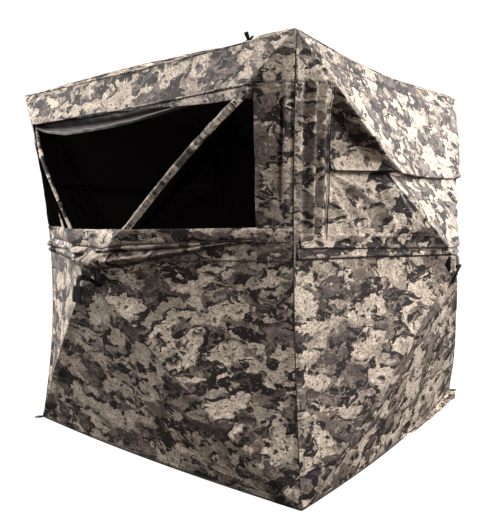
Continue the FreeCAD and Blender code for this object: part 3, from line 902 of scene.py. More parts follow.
def front_brow(side):
    down, across = grid(34, 260, -1)
    low_reach = 1 - brow_edge(across * BROW_HALF) / side.half_v
    u = side.half_u * (1 - low_reach * down) * across
    v = side.half_v - (side.half_v - brow_edge(u)) * down
    v = np.maximum(v, side.half_v * np.abs(u) / side.half_u)
    piece = patch("front_brow_fabric", side, u, v)
    finish_fabric(piece, side, "top", ["front_top_panel"])


def front_pillar(side, edge, sign):
    up, across = grid(120, 40)
    inner = pillar_edge(SILL_TOP + (side.half_v - SILL_TOP) * up, sign)
    u = side.half_u - (side.half_u - inner) * across
    v = SILL_TOP + (side.half_v * u / side.half_u - SILL_TOP) * up
    piece = patch(f"front_{edge}_pillar", side, sign * u, v, moved=PILLAR_PRINT[edge])
    finish_fabric(piece, side, edge, [f"front_{edge}_panel"])


def front_flank(side, edge, sign):
    """Side panel of the front wall, from the lower pole up to the sill."""
    up, reach = grid(130, 130)
    u = side.half_u * (1 - reach)
    low = -side.half_v * (1 - reach)
    high = np.minimum(SILL_TOP, side.half_v * (1 - reach))
    v = low + (high - low) * up
    piece = patch(f"front_{edge}_fabric", side, sign * u, v)
    finish_fabric(piece, side, edge, [f"front_{edge}_panel"])


def front_sill_middle(side):
    """The small triangle of the upper panel between the sill and the hub."""
    down, across = grid(24, 48, -1)
    v = SILL_TOP * (1 - down)
    piece = patch("front_sill_middle", side, side.ridge_at(1.0) * v * across, v)
    finish_fabric(piece, side, "top")


def make_panels():
    in_parts = {("front", edge) for edge in ("top", "left", "right")} | {("rear", "right")}
    for side in SIDES.values():
        for edge in side.edges:
            if (side.name, edge) not in in_parts:
                whole_panel(side, edge)
    front = SIDES["front"]
    front_brow(front)
    for edge, sign in FLANKS:
        front_pillar(front, edge, sign)
        front_flank(front, edge, sign)
    front_sill_middle(front)


# ---- The open front window ------------------------------------------------------------
def split_at_poles(side, u_low, u_high, v):
    """Cuts a level band where it crosses the poles: (panel's edge, from u, to u)."""
    ridge = side.ridge_at(v)
    spans = [("left", u_low, -ridge), ("top", -ridge, ridge), ("right", ridge, u_high)]
    spans = [(edge, max(low, u_low), min(high, u_high)) for edge, low, high in spans]
    return [(edge, low, high) for edge, low, high in spans if high - low > 0.005]


def band(name, side, ends, height, shape, material, nodes=None, rows=12):
    """A level band of fabric in up to three lengths; shape(t, u) gives v and lift."""
    t = np.linspace(0, 1, rows)[:, None]
    for edge, low, high in split_at_poles(side, *ends, height):
        count = max(6, int((high - low) / 0.006))
        u = np.linspace(low, high, count)[None, :]
        v, lift = shape(t, u)
        u = np.broadcast_to(u, v.shape)
        piece = patch(f"{name}_{edge}", side, u, v, lift, [material, LINING])
        replaced = [nodes[edge]] if nodes and edge in nodes else []
        finish_fabric(piece, side, edge, replaced)


# Heights along the bunched window cloth under the sill: places u, then heights v. The puffs
# are how far it stands off the wall, in millimetres, and the sag is the curtain's, in metres.
BAND_LOW = ([-0.65, -0.15, 0.05, 0.15, 0.37, 0.60], [0.106, 0.104, 0.093, 0.106, 0.113, 0.124])
ROLL_TOP = ([0.03, 0.10, 0.25, 0.35, 0.43, 0.56], [0.084, 0.083, 0.088, 0.094, 0.105, 0.120])
ROLL_LOW = (
    [-0.65, -0.33, -0.12, 0.01, 0.10, 0.16, 0.25, 0.35, 0.43, 0.55, 0.60],
    [0.044, 0.036, 0.027, 0.024, 0.031, 0.044, 0.059, 0.078, 0.092, 0.112, 0.120],
)
ROLL_PUFF = (
    [-0.65, -0.62, -0.57, -0.25, 0.0, 0.2, 0.35, 0.5, 0.6],
    [40, 54, 22, 16, 34, 34, 22, 11, 4],
)
FOLD_PUFF = ([0.0, 0.04, 0.10, 0.25, 0.40, 0.46], [6, 22, 20, 14, 7, 2])
CURTAIN_SAG = (
    [-0.60, -0.50, -0.36, -0.10, 0.12, 0.42, 0.52],
    [0.0, 0.035, 0.058, 0.056, 0.042, 0.010, 0.0],
)


def level(table, u):
    return np.interp(u, *table)


def puffed(t):
    """Round section of a bunch of cloth, from its top edge to its lower edge."""
    return np.sqrt(np.maximum(np.sin(math.pi * np.clip(t, 0.001, 0.999)), 0))


def sill_band_shape(t, u):
    """Double cloth along the top edge of the wall under the window."""
    top = SILL_TOP + 0.003 + 0.0015 * cloud(u / 0.10, 0 * u, 51.0)
    v = top + (level(BAND_LOW, u) + 0.001 - top) * t
    return v, 0.002 + 0.010 * puffed(0.04 + 0.90 * t) + 0.002 * cloud(u / 0.09, t * 2, 50.0)


def fold_shape(t, u):
    """Thin upper fold of the bunched cloth."""
    top = level(BAND_LOW, u) - 0.002
    v = top + (level(ROLL_TOP, u) + 0.001 - top) * t
    uneven = 1 + 0.25 * cloud(u / 0.07, t * 2, 56.0)
    return v, 0.002 + level(FOLD_PUFF, u) * 0.001 * puffed(t) * uneven


def roll_shape(t, u):
    """Window fabric let down and bunched under the sill, fullest near the middle."""
    top = np.where(u > 0.03, level(ROLL_TOP, u), level(BAND_LOW, u)) - 0.001
    v = top + (level(ROLL_LOW, u) - top) * t
    uneven = 1 + 0.30 * cloud(u / 0.16, t * 3.2, 53.0) + 0.18 * cloud(u / 0.05, t * 5.0, 54.0)
    left = smooth(-u, -0.02, 0.05)
    crease = 0.6 * left * hump(t, 0.45 + 0.15 * cloud(u / 0.2, u * 0, 55.0), 0.08)
    return v, 0.002 + level(ROLL_PUFF, u) * 0.001 * puffed(t) * np.maximum(uneven - crease, 0.1)


def sill_painted_shade(side):
    """Painted shade: dark lines between the band, the folds and the wall under them, where shadow falls."""
    painted_shade_line(side, (-0.60, 0.59), lambda u: level(BAND_LOW, u) - 0.001, 0.006, 0.0055)
    painted_shade_line(side, (0.04, 0.50), lambda u: level(ROLL_TOP, u) - 0.001, 0.007, 0.0045)
    painted_shade_line(side, (-0.64, 0.59), lambda u: level(ROLL_LOW, u) - 0.001, 0.003, 0.0070)

    def lower_fold(u):
        return 0.051 + 0.002 * cloud(u / 0.2, 0 * u, 57.0)

    painted_shade_line(side, (0.25, 0.703), lower_fold, 0.0012, 0.004)
    beside = (0.60, 0.703)
    painted_shade_line(side, beside, lambda u: 0.112 + 0 * u, 0.0012, 0.003)
    for v in (0.061, 0.106):
        sew(side, "right", np.linspace(0.60, 0.70, 20), v)


def curtain_depth(u):
    """How far the curtain sags below the brow."""
    return 0.006 + level(CURTAIN_SAG, u)


def window_curtain(side):
    """Black coated curtain bunched on its cord just inside the brow."""
    t = np.linspace(0, 1, 30)[:, None]
    u = np.linspace(-0.575, 0.53, 220)[None, :]
    top = brow_edge(u) + 0.012
    v = top - (0.012 + curtain_depth(u)) * t
    full = smooth(curtain_depth(u), 0.006, 0.04)
    folds = 0.008 * np.sin(t * 9 + 2.2 * cloud(u / 0.4, t, 61.0))
    folds = folds + 0.003 * cloud(u / 0.03, t * 4, 62.0)
    lift = -0.012 - 0.030 * (1 - smooth(t, 0.25, 0.85)) - 0.010 * smooth(t, 0.85, 1.0)
    lift = lift + 0.7 * folds * full
    piece = patch("front_window_curtain_cloth", side, u, v, lift, [CURTAIN, CURTAIN])
    turn_with_panel(piece, side, "top")
    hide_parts("front_window_curtain")
    declare_sheet(piece, side)


def brow_inner_band(side):
    """Rolled camouflage edge behind the brow, which shows more towards the right."""
    t = np.linspace(0, 1, 12)[:, None]
    u = np.linspace(-0.30, 0.592, 140)[None, :]
    deep = 0.004 + 0.038 * smooth(u, -0.1, 0.56)
    v = brow_edge(u) + 0.006 - (deep + 0.006) * t
    lift = -0.007 + 0.004 * np.sin(math.pi * t) + 0.0015 * cloud(u / 0.07, t * 2, 63.0)
    piece = patch("front_brow_inner_band", side, u, v, lift)
    finish_fabric(piece, side, "top")


def brow_hem(side):
    """Turned-up hem along the brow's edge."""
    cut = Cut()
    u = np.linspace(-0.572, 0.588, 200)
    v = brow_edge(u) + 0.001
    path = surface(side, u, v, 0.0005)
    tube(cut, path, 0.0022, 0.0032, side.n, shift=0.9)
    piece = cut.build("front_brow_hem", [CAMO])
    turn_with_panel(piece, side, "top")
    sew(side, "top", u, brow_edge(u) + 0.012)


def sill_flap(side):
    """Loose corner of the window's fabric standing up beside the left pillar."""
    t, s = grid(14, 8)
    u = -0.350 + 0.085 * s * (1 - t) + 0.003 * t
    v = SILL_TOP - 0.006 + 0.074 * t + 0 * s
    lift = 0.008 + 0.010 * np.sin(math.pi * s) * (1 - t) + 0.004 * t
    piece = patch("front_sill_flap", side, u, v, lift)
    finish_fabric(piece, side, "left")


# Loose sleeves on the upper front poles: half-width, shift of the print, height of the knot.
SLEEVES = {"left": (0.0068, 1.37, 0.008), "right": (0.0125, 0.54, 0.0)}


def bowed_pole(side, sign, k):
    """Points of an upper front pole, which the tension bends outward."""
    start, end, _ = side.pole_line(sign, 1)
    spring = np.sin(math.pi * k**1.35)
    aside = 0.014 * hump(k, 0.80, 0.25) if sign < 0 else 0.0 * k
    line = start + (end - start) * k[:, None]
    return line + side.n * (0.042 * spring)[:, None] + side.u * (sign * aside * spring)[:, None]


def front_pole(side, edge, sign):
    """A bent pole with its knuckle and tip, in a loose camouflage sleeve."""
    name = "front_upper_" + edge
    node = name + "_pole"
    start, end, way = side.pole_line(sign, 1)
    k = np.linspace(0.0, 1.0, 160)
    length = np.linalg.norm(end - start)
    knuckle = 1 - smooth(k * length, 0.032, 0.036)
    tip = smooth(k * length, length - 0.046, length - 0.044)
    tip_end = 1 - 0.5 * smooth(k * length, length - 0.004, length)
    radius = (0.0050 + 0.0018 * knuckle + 0.0020 * tip) * tip_end
    rod = Cut()
    tube(rod, bowed_pole(side, sign, k), radius, radius, np.cross(side.n, way), around=16)
    carry(rod.build(name + "_rod", [ROD]), node, "fibreglass", node)
    loose, print_shift, knot = SLEEVES[edge]
    k = np.linspace(0.10, 0.93, 100)
    crumple = 1 + 0.10 * cloud(k * 26, k * 0, 71.0 + sign) + 0.05 * cloud(k * 70, k * 0, 73.0)
    thick = (loose - 0.001) * crumple + knot * hump(k, 0.66, 0.022)
    sleeve = Cut()
    tube(sleeve, bowed_pole(side, sign, k), loose * crumple, thick, side.n, shift=print_shift)
    carry(sleeve.build(name + "_sleeve", [CAMO]), node, "camo_fabric")


def make_window():
    side = SIDES["front"]
    sill_nodes = {"left": "front_sill_left", "right": "front_sill_right"}
    band("front_sill_band", side, (-0.606, 0.594), 0.130, sill_band_shape, CAMO, rows=20)
    band("front_sill_fold", side, (0.02, 0.45), 0.095, fold_shape, CAMO, rows=16)
    band("front_sill_roll", side, (-0.648, 0.594), 0.060, roll_shape, CAMO, sill_nodes, 34)
    sill_painted_shade(side)
    window_curtain(side)
    brow_inner_band(side)
    brow_hem(side)
    sill_flap(side)
    v = np.linspace(SILL_TOP, 0.60, 80)
    for edge, sign in FLANKS:
        front_pole(side, edge, sign)
        for inset in (0.006, 0.013):
            sew(side, edge, sign * (pillar_edge(v, sign) + inset), v)


# ---- Closed windows, belts and zips on the side walls ---------------------------------
def lip_edge(side, u):
    """Lower edge of a closed window's cloth."""
    return WINDOW_SEAM + 0.006 * cloud(u / 0.5, u * 0, 81.0 + side.index)


def lap_edge(side, u):
    """Lower edge of the cloth that laps over the belt."""
    return level(BELT_TOP, u) + 0.003 * cloud(u / 0.3, u * 0, 83.0 + side.index)


def belt_wave(side, u):
    return 0.002 * cloud(u / 0.2, u * 0, 84.0 + side.index)


def lip_shape(side, edge, cover, off):
    """A loose lower edge of cloth, which stands off the cloth under it."""

    def shape(t, u):
        return edge(side, u) + cover * (1 - t), 0.001 + off(u) * t**1.5

    return shape


def window_lip_off(u):
    return 0.008 - 0.003 * smooth(u, 0.1, 0.5) + 0.002 * cloud(u / 0.12, u * 0, 82.0)


def belt_lip_off(u):
    return 0.010 + 0 * u


def belt_shape(side):
    """Double band that runs round the blind at the height of the hubs."""

    def shape(t, u):
        top = level(BELT_TOP, u) + 0.006
        v = top + (level(BELT_FOOT, u) - top) * t + belt_wave(side, u)
        return v, 0.003 + 0.007 * smooth(t, 0.3, 1.0) + 0.0015 * cloud(u / 0.05, t * 3, 85.0)

    return shape


def zip_line(side, edge, sign):
    """A coil zip on its tape, down one side of a closed window."""
    v = np.linspace(BELT_HIGH + 0.004, ZIP_TOP, 90)
    across = np.linspace(-0.007, 0.007, 6)[None, :]
    name = f"{side.name}_{edge}_zip_"
    tape = patch(name + "tape", side, sign * ZIP_AT + across, v[:, None], 0.0012, [CAMO])
    turn_with_panel(tape, side, edge)
    cut = Cut()
    path = line_on(side, sign * ZIP_AT, v, 0.0035, 0.0026)
    swell = 0.0013 + 0.0005 * (np.arange(len(path)) % 2)
    tube(cut, path, swell, 0.0014, side.u, around=8)
    turn_with_panel(cut.build(name + "coil", [POLYMER]), side, edge)
    for offset in (-0.005, 0.005):
        sew(side, edge, sign * ZIP_AT + offset, v, 0.0015)


def belt_loop(side, u, v, name):
    """A small webbing loop sewn into a seam."""
    cut = Cut()
    a = np.linspace(-0.3, math.pi + 0.3, 20)
    drop = np.stack([0.004 * np.cos(a), 0.013 * np.sin(a)], -1)
    base = surface(side, u, v)
    path = base + drop[:, :1] * side.v + drop[:, 1:] * side.n
    tube(cut, path, 0.006, 0.0012, side.u, square=0.6)
    piece = cut.build(name, [WEBBING])
    turn_with_panel(piece, side, "right" if u > 0 else "left")


def side_painted_shade(side):
    """Painted shade: dark lines under the window lip, over and under the belt, and under the eave, where
    shadow falls.
    """
    whole = (-BELT_HALF, BELT_HALF)
    eave = (-EAVE_STITCH_HALF, EAVE_STITCH_HALF)
    painted_shade_line(side, (-ZIP_AT, 0.690), lambda u: lip_edge(side, u) - 0.002, 0.002)
    painted_shade_line(side, whole, lambda u: lap_edge(side, u) - 0.002, 0.004, 0.0050)
    painted_shade_line(side, whole, lambda u: level(BELT_FOOT, u) - 0.003 + belt_wave(side, u), 0.002, 0.0050)
    painted_shade_line(side, eave, lambda u: eave_stitch_line(side, u), 0.001, 0.0030)
    for edge, low, high in split_at_poles(side, *eave, EAVE_STITCH):
        u = np.linspace(low, high, 120)
        sew(side, edge, u, eave_stitch_line(side, u) - 0.008)


def make_side_windows():
    for name in ("right", "left"):
        side = SIDES[name]
        whole = (-BELT_HALF, BELT_HALF)
        window_lip = lip_shape(side, lip_edge, 0.060, window_lip_off)
        belt_lip = lip_shape(side, lap_edge, 0.045, belt_lip_off)
        band(f"{name}_window_lip", side, (-ZIP_AT, ZIP_AT), WINDOW_SEAM, window_lip, CAMO)
        band(f"{name}_belt_lip", side, (-0.690, 0.690), BELT_HIGH, belt_lip, CAMO)
        band(f"{name}_belt", side, whole, BELT_AT, belt_shape(side), CAMO)
        for edge, sign in FLANKS:
            zip_line(side, edge, sign)
        for edge, low, high in split_at_poles(side, *whole, BELT_AT):
            u = np.linspace(low, high, 60)
            sew(side, edge, u, level(BELT_FOOT, u) + 0.005, 0.0105)
            sew(side, edge, u, level(BELT_TOP, u) - 0.010, 0.0060)
        side_painted_shade(side)
        belt_loop(side, 0.688, 0.345, f"{name}_upper_loop")
        belt_loop(side, 0.690, 0.035, f"{name}_lower_loop")


# ---- Rear door ------------------------------------------------------------------------
def ray_to_outline(centre, angle, outline):
    """Distance from the centre to a polygon's edge, in this direction."""
    way = np.array([math.cos(angle), math.sin(angle)])
    best = 1e9
    for a, b in zip(outline, outline[1:] + outline[:1]):
        a, b = np.array(a) - centre, np.array(b) - centre
        edge = b - a
        spread = way[0] * edge[1] - way[1] * edge[0]
        if abs(spread) < 1e-12:
            continue
        far = (a[0] * edge[1] - a[1] * edge[0]) / spread
        part = (a[0] * way[1] - a[1] * way[0]) / spread
        if far > 0 and -1e-9 <= part <= 1 + 1e-9:
            best = min(best, far)
    return best


def ring_between(centre, inner, outer, rows, columns=240):
    """A ring of points from one outline to the other; an empty inner one fills it."""
    angles = {2 * math.pi * i / columns for i in range(columns)}
    for x, y in list(inner) + list(outer):
        angles.add(math.atan2(y - centre[1], x - centre[0]) % (2 * math.pi))
    angles = np.array(sorted(angles))
    angles = angles[np.concatenate([[True], np.diff(angles) > 1e-6])]
    far = np.array([ray_to_outline(centre, a, outer) for a in angles])
    near = np.array([ray_to_outline(centre, a, inner) for a in angles]) if inner else 0 * far
    k = np.linspace(0, 1, rows)[:, None]
    distance = near + (far - near) * k
    return centre[0] + distance * np.cos(angles), centre[1] + distance * np.sin(angles)


def grown(outline, centre, gap):
    """The outline pushed out from its centre by about the gap."""
    points = [np.array(p) for p in outline]
    middle = np.array(centre)
    return [tuple(p + (p - middle) / np.linalg.norm(p - middle) * gap) for p in points]


def make_door():
    side = SIDES["rear"]
    door = [(side.half_u - reach, v) for reach, v in DOOR_OUTLINE]
    centre = (side.half_u - 0.29, -0.02)
    opening = grown(door, centre, DOOR_GAP)
    panel = [(side.half_u, -side.half_v), (side.half_u, side.half_v), (0.0, 0.0)]
    u, v = ring_between(centre, opening, panel, 40)
    frame_cloth = patch("rear_right_fabric", side, u, v, close=True)
    finish_fabric(frame_cloth, side, "right", ["rear_right_panel"])
    u, v = ring_between(centre, [], door, 44)
    door_cloth = patch("rear_door_fabric", side, u, v, close=True)
    carry(door_cloth, "rear_door", "camo_fabric", "rear_door")
    declare_sheet(door_cloth, side)
    door_zip(side, opening)
    door_slider(side)


def door_zip(side, opening):
    """Zip tape and coil round the door's free edges, on the frame's side."""
    foot, free, head = (resample(np.array(opening[a:b]), 0.005) for a, b in ((0, 2), (1, 5), (4, 6)))
    line = np.concatenate([foot[:-1], free, head[1:]])
    tape, coil = Cut(), Cut()
    tangent = np.gradient(line, axis=0)
    tangent /= np.linalg.norm(tangent, axis=1)[:, None]
    out = np.stack([tangent[:, 1], -tangent[:, 0]], -1)
    middle = line.mean(axis=0)
    out *= np.sign(np.sum(out * (line - middle), axis=1))[:, None]
    across = np.linspace(-0.006, 0.016, 7)
    places = line[:, None] + out[:, None] * across[None, :, None]
    tape.add(surface(side, places[..., 0], places[..., 1], 0.0016), places)
    piece = tape.build("rear_door_zip_tape", [BINDING, BINDING], side.n, CLOTH)
    turn_with_panel(piece, side, "right")
    path = surface(side, *(line + out * 0.004).T, 0.0036)
    swell = 0.0019 + 0.0006 * (np.arange(len(path)) % 2)
    tube(coil, path, swell, 0.0016, side.n, around=8)
    piece = coil.build("rear_door_zip_coil", [POLYMER])
    turn_with_panel(piece, side, "right")
    sew(side, "right", *(line + out * 0.013).T, 0.003)
    v = np.linspace(DOOR_OUTLINE[0][1], DOOR_OUTLINE[-1][1], 80)[:, None]
    u = side.half_u - DOOR_HINGE + np.linspace(-0.006, 0.012, 6)[None, :]
    hinge = patch("rear_door_hinge_tape", side, u, v, -0.003, [BINDING])
    turn_with_panel(hinge, side, "right")


def door_slider(side):
    """Zip slider: a waisted body, its bridge and a pull tab."""
    low, high = (np.array(corner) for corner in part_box("door_zipper_slider"))
    middle = (low + high) / 2
    cut = Cut()
    k = np.linspace(-1, 1, 16)
    path = middle + side.v * (0.008 * k)[:, None]
    waist = 0.0058 - 0.0016 * (1 - k**2)
    tube(cut, path, waist, 0.0024, side.u, square=0.55, around=20)
    a = np.linspace(0, math.pi, 14)
    bridge = middle + side.v * (0.005 * np.cos(a))[:, None] + side.n * (0.0045 * np.sin(a))[:, None]
    tube(cut, bridge, 0.0016, 0.0009, side.u, square=0.7, around=10)
    pull = middle + side.n * 0.0048 - side.v * (0.001 + 0.017 * (k + 1) / 2)[:, None]
    tube(cut, pull, 0.0030 - 0.0008 * k, 0.0008, side.u, square=0.6, around=12)
    piece = cut.build("door_zip_slider", [METAL])
    carry(piece, "door_zipper_slider", "dark_metal", "door_zipper_slider")


# ---- Seams, patches, pockets, skirts and tabs -----------------------------------------
SEAM_INSET = 0.012  # a binding stops this far from the corner
HEM_RISE = 0.0042  # middle of the hem's cord above the ground
PATCH_LEG = 0.108  # a corner patch along its two seams, and its sewn line
PATCH_STITCH = 0.101
GUSSET_FOOT = 0.590
GUSSET_HEIGHT = 0.075
TAB_WIDTH = 0.025
TAB_HOLE = 0.0078
GROMMET_PROFILE = (  # radius and height, once round
    (0.0060, 0.0004),
    (0.0060, 0.0040),
    (0.0068, 0.0046),
    (0.0085, 0.0047),
    (0.0104, 0.0040),
    (0.0110, 0.0031),
    (0.0086, 0.0030),
    (0.0070, 0.0010),
    (0.0060, 0.0004),
)


def seam_bindings():
    """Folded binding along every corner seam and roof seam, and the corded hem."""
    s = np.linspace(-1, 1, 160) * (1 - SEAM_INSET / HALF_WIDTH)
    corners, eaves, hems = Cut(), Cut(), Cut()
    for side in WALLS:
        corner = surface(side, side.half_u, side.half_v * s)
        tube(corners, corner, 0.0018, 0.0014, side.n + side.u, shift=side.index)
        eave = surface(side, side.half_u * s, side.half_v)
        tube(eaves, eave, 0.0030, 0.0026, side.n + side.v, shift=side.index + 0.5)
        hem = surface(side, side.half_u * s, -side.half_v)
        hem[:, 2] = HEM_RISE
        tube(hems, hem, 0.0036, 0.0038, side.n, shift=side.index + 0.7)
    for name, cut, material in (("corner", corners, BINDING), ("eave", eaves, CAMO)):
        piece = cut.build(name + "_seam_binding", [material])
        carry(piece, "shell", "black_webbing", "edge_bindings")
    carry(hems.build("hem_cord", [BINDING]), "shell", "black_webbing")


def corner_patch_pieces():
    """Double cloth in every corner of every side, where the pole ends push."""
    cut = Cut()
    r, t = grid(22, 22)
    k = np.linspace(0.05, 0.95, 30)
    for side in SIDES.values():
        for sign_u, sign_v in CORNERS:
            u = sign_u * (side.half_u - PATCH_LEG * r * t)
            v = sign_v * (side.half_v - PATCH_LEG * r * (1 - t))
            cut.add(surface(side, u, v, 0.0016), cloth_places(side, u + 0.9, v + 0.6))
            u = sign_u * (side.half_u - PATCH_STITCH * k)
            v = sign_v * (side.half_v - PATCH_STITCH * (1 - k))
            near = k < 0.5
            sew(side, side.edge_towards(sign_u, 0), u[near], v[near], 0.0022)
            sew(side, side.edge_towards(0, sign_v), u[~near], v[~near], 0.0022)
    carry(cut.build("corner_patch_cloth", [CAMO]), "shell", "camo_fabric", "corner_patches")


def corner_gussets():
    """Cloth band across the top of each upright corner, between two sewn lines."""
    t, across = grid(14, 16)
    for side in WALLS:
        for edge, sign in FLANKS:
            v = GUSSET_FOOT + GUSSET_HEIGHT * t + 0 * across
            inner = side.ridge_at(1.0) * v + 0.004
            u = inner + (side.half_u - 0.002 - inner) * across
            lift = 0.0018 + 0.0015 * cloud(u / 0.03, v / 0.02, 91.0)
            piece = patch(f"{side.name}_{edge}_gusset", side, sign * u, v, lift)
            finish_fabric(piece, side, edge)
            for height in (GUSSET_FOOT + 0.005, GUSSET_FOOT + 0.071):
                first = height * side.ridge_at(1.0) + 0.006
                sew(side, edge, sign * np.linspace(first, 0.706, 12), height, 0.004)


def pole_pocket_sleeves():
    """Sewn tubes inside the corners, which the pole ends slide in."""
    cut = Cut()
    for side in SIDES.values():
        for sign_u, sign_v in CORNERS:
            _, _, way = side.pole_line(sign_u, sign_v)
            k = np.linspace(0, 1, 26)
            base = side.centre - side.n * POLE_INSET
            run = side.diagonal - POCKET_NEAR - (POCKET_FAR - POCKET_NEAR) * k
            path = base + way * run[:, None]
            wrinkle = 0.0008 * cloud(k * 12, k * 0, 95.0 + side.index)
            across = np.cross(side.n, way)
            outer = 0.0152 + wrinkle + 0.0008 * hump(k, 1.0, 0.08)
            ring_points(cut, path, outer, side.n, across)
    piece = cut.build("pole_pocket_sleeves", [LINING, LINING])
    thicken(piece, 0.0013, 0)
    carry(piece, "shell", "black_lining", "pole_pockets")


def ring_points(cut, path, radius, a, b, around=24):
    """An open round tube."""
    angle = circle(around)[None, :, None]
    radius = np.broadcast_to(radius, len(path))[:, None, None]
    points = path[:, None] + radius * (np.cos(angle) * a + np.sin(angle) * b)
    cloth = np.broadcast_to(angle, points.shape[:2] + (1,)) * 0.015
    cut.add(points, np.concatenate([cloth, cloth * 0 + path[:, None, :1]], -1), close=True)


def tucked_skirt(side):
    """Skirt folded in under the wall, lying on the ground."""
    t, s = grid(14, 120, -1)
    hem = surface(side, side.half_u * s * 0.86, -side.half_v + 0 * s)
    inward = -side.n * (0.008 + 0.098 * t)[..., None]
    ends = side.u * (-0.055 * s * t)[..., None]
    points = hem + inward + ends
    wave = cloud(s * 9 + side.index, t * 1.5, 101.0)
    points[..., 2] = 0.0016 + 0.0022 * (1 + wave) * smooth(t, 0.0, 0.4)
    cut = Cut()
    cut.add(points, cloth_places(side, *np.broadcast_arrays(s * 0.6, t * 0.1)))
    return cut.build(f"{side.name}_skirt", [CAMO, LINING], (0, 0, 1), CLOTH)


def turned_out_skirt(side):
    """The right skirt, which lies out beyond the wall towards the rear corner."""
    t = np.linspace(0, 1, 16)[:, None]
    along = np.linspace(-0.03, 0.650, 130)[None, :]
    hem = surface(side, along, -side.half_v + 0 * along)
    reach = np.interp(along, [-0.03, 0.12, 0.40, 0.60, 0.650], [0.0, 0.016, 0.030, 0.046, 0.036])
    reach = reach * (1 + 0.10 * cloud(along / 0.05, along * 0, 103.0))
    points = hem + side.n * (0.001 + reach * t)[..., None]
    rise = 0.006 * (1 - t) + 0.003 * (1 + cloud(along / 0.06, t * 1.5, 104.0)) * t
    tip = 0.016 * hump(along, 0.645, 0.03) * np.sin(math.pi * np.clip(t, 0, 1) * 0.7)
    points[..., 2] = 0.0015 + rise + tip
    cut = Cut()
    cut.add(points, cloth_places(side, *np.broadcast_arrays(along, t * 0.06 - 0.8)))
    return cut.build("right_skirt_turned_out", [CAMO, LINING], (0, 0, 1), CLOTH)


def make_skirts():
    for side in WALLS:
        piece = turned_out_skirt(side) if side.name == "right" else tucked_skirt(side)
        carry(piece, "shell", "camo_fabric", "ground_skirts")
        declare_sheet(piece, side)


def rounded_tab(width, near, far):
    """Outline of a tab with a rounded end, along x."""
    a = np.linspace(-math.pi / 2, math.pi / 2, 13)
    end = [(far - width / 2 + width / 2 * math.cos(k), width / 2 * math.sin(k)) for k in a]
    return end + [(near, width / 2), (near, -width / 2)]


def make_stake_tabs():
    """Webbing tabs on the ground with pressed grommets."""
    webbing, metal = Cut(), Cut()
    round_hole = [(TAB_HOLE * math.cos(a), TAB_HOLE * math.sin(a)) for a in circle(24)]
    outline = rounded_tab(TAB_WIDTH, -0.022, 0.0155)
    x, y = ring_between((0.0, 0.0), round_hole, outline, 9, 48)
    for sign_x, sign_y in CORNERS:
        tucked = sign_x > 0 and sign_y < 0
        way = np.array([sign_x, sign_y, 0.0]) / math.sqrt(2) * (-1 if tucked else 1)
        start = np.array([sign_x, sign_y, 0.0]) * HALF_WIDTH + way * (0.026 if tucked else 0.002)
        across = np.cross((0.0, 0.0, 1.0), way)
        hole = start + way * 0.020
        top = hole + x[..., None] * way + y[..., None] * across + np.array([0, 0, 0.0028])
        webbing.add(top, np.stack([x, y], -1), close=True)
        a = circle(40)[:, None]
        rim = np.cos(a) * way + np.sin(a) * across
        metal.add(np.array([hole + r * rim + (0, 0, z) for r, z in GROMMET_PROFILE]), close=True)
    piece = webbing.build("stake_tab_webbing", [WEBBING, WEBBING], (0, 0, 1), 0.0024)
    carry(piece, "shell", "black_webbing", "stake_tabs")
    carry(metal.build("stake_tab_grommets", [METAL]), "shell", "dark_metal")


# ---- Pull straps and the carried-over parts -------------------------------------------
STRAP_HALF = 0.0100  # half the webbing's width
# The straps' lines: (v, n) points beyond the hub.
HANGING_STRAP = (
    (-0.010, 0.006),
    (0.004, 0.016),
    (0.001, 0.028),
    (-0.020, 0.034),
    (-0.055, 0.040),
    (-0.088, 0.044),
)
STRAPS = {
    "roof": ((0.0, 0.004), (-0.004, 0.014), (-0.016, 0.030), (-0.024, 0.046)),
    "right": (
        (-0.010, 0.006),
        (-0.002, 0.012),
        (-0.008, 0.015),
        (-0.020, 0.011),
        (-0.050, -0.003),
        (-0.078, -0.013),
    ),
}
SECOND_ROOF_STRAP = ((0.0, 0.004), (0.006, 0.014), (0.018, 0.028), (0.026, 0.038))
HUB_TAIL = ((0.058, -0.034), (0.040, -0.020), (0.020, 0.002), (0.002, 0.012), (-0.012, 0.004))
COVER_RADIUS = 0.046
CAP_RADIUS = 0.031  # the cover lies on the cap up to here


def rounded(points, step):
    """A line through (x, y) points with its corners rounded off."""
    line = np.pad(resample(points, step), ((4, 4), (0, 0)), mode="edge")
    kernel = np.ones(9) / 9
    return np.stack([np.convolve(line[:, i], kernel, mode="valid") for i in range(2)], -1)


def strap_path(side, points):
    """A smooth line through (v, n) points beyond the hub."""
    line = rounded(points, 0.001)
    return side.centre + side.n * side.rise + line[:, :1] * side.v + line[:, 1:] * side.n


def make_strap(side):
    """Webbing pull strap with a thick sewn grip, on the hub's pin."""
    path = strap_path(side, STRAPS.get(side.name, HANGING_STRAP))
    k = np.linspace(0, 1, len(path))
    grip_from = 0.55 if side.roof else 0.50
    grip = smooth(k, grip_from, grip_from + 0.04)
    end = 1 - smooth(k, 0.975, 1.0) * 0.45
    rows = 0.0004 * np.sin(k * 260) * grip
    half = (STRAP_HALF + (0.012 if side.name == "front" else 0.001) * grip) * end
    thick = (0.0014 + 0.0023 * grip) * end + rows
    cut = Cut()
    tube(cut, path, half, thick, side.u, 0.45, 28)
    drop = 0 if side.roof else STRAP_PIN_DROP
    eye = side.centre + side.n * (side.rise + STRAP_PIN_RISE) - side.v * drop
    wrap = eye + side.u * np.linspace(-STRAP_HALF, STRAP_HALF, 10)[:, None]
    tube(cut, wrap, 0.0047, 0.0047, side.n, around=20)
    if side.roof:
        tube(cut, strap_path(side, SECOND_ROOF_STRAP), 0.0095, 0.0017, side.u, 0.45, 28)
    name = side.name + "_pull_strap"
    carry(cut.build(f"{side.name}_strap_webbing", [WEBBING]), name, "black_webbing", name)


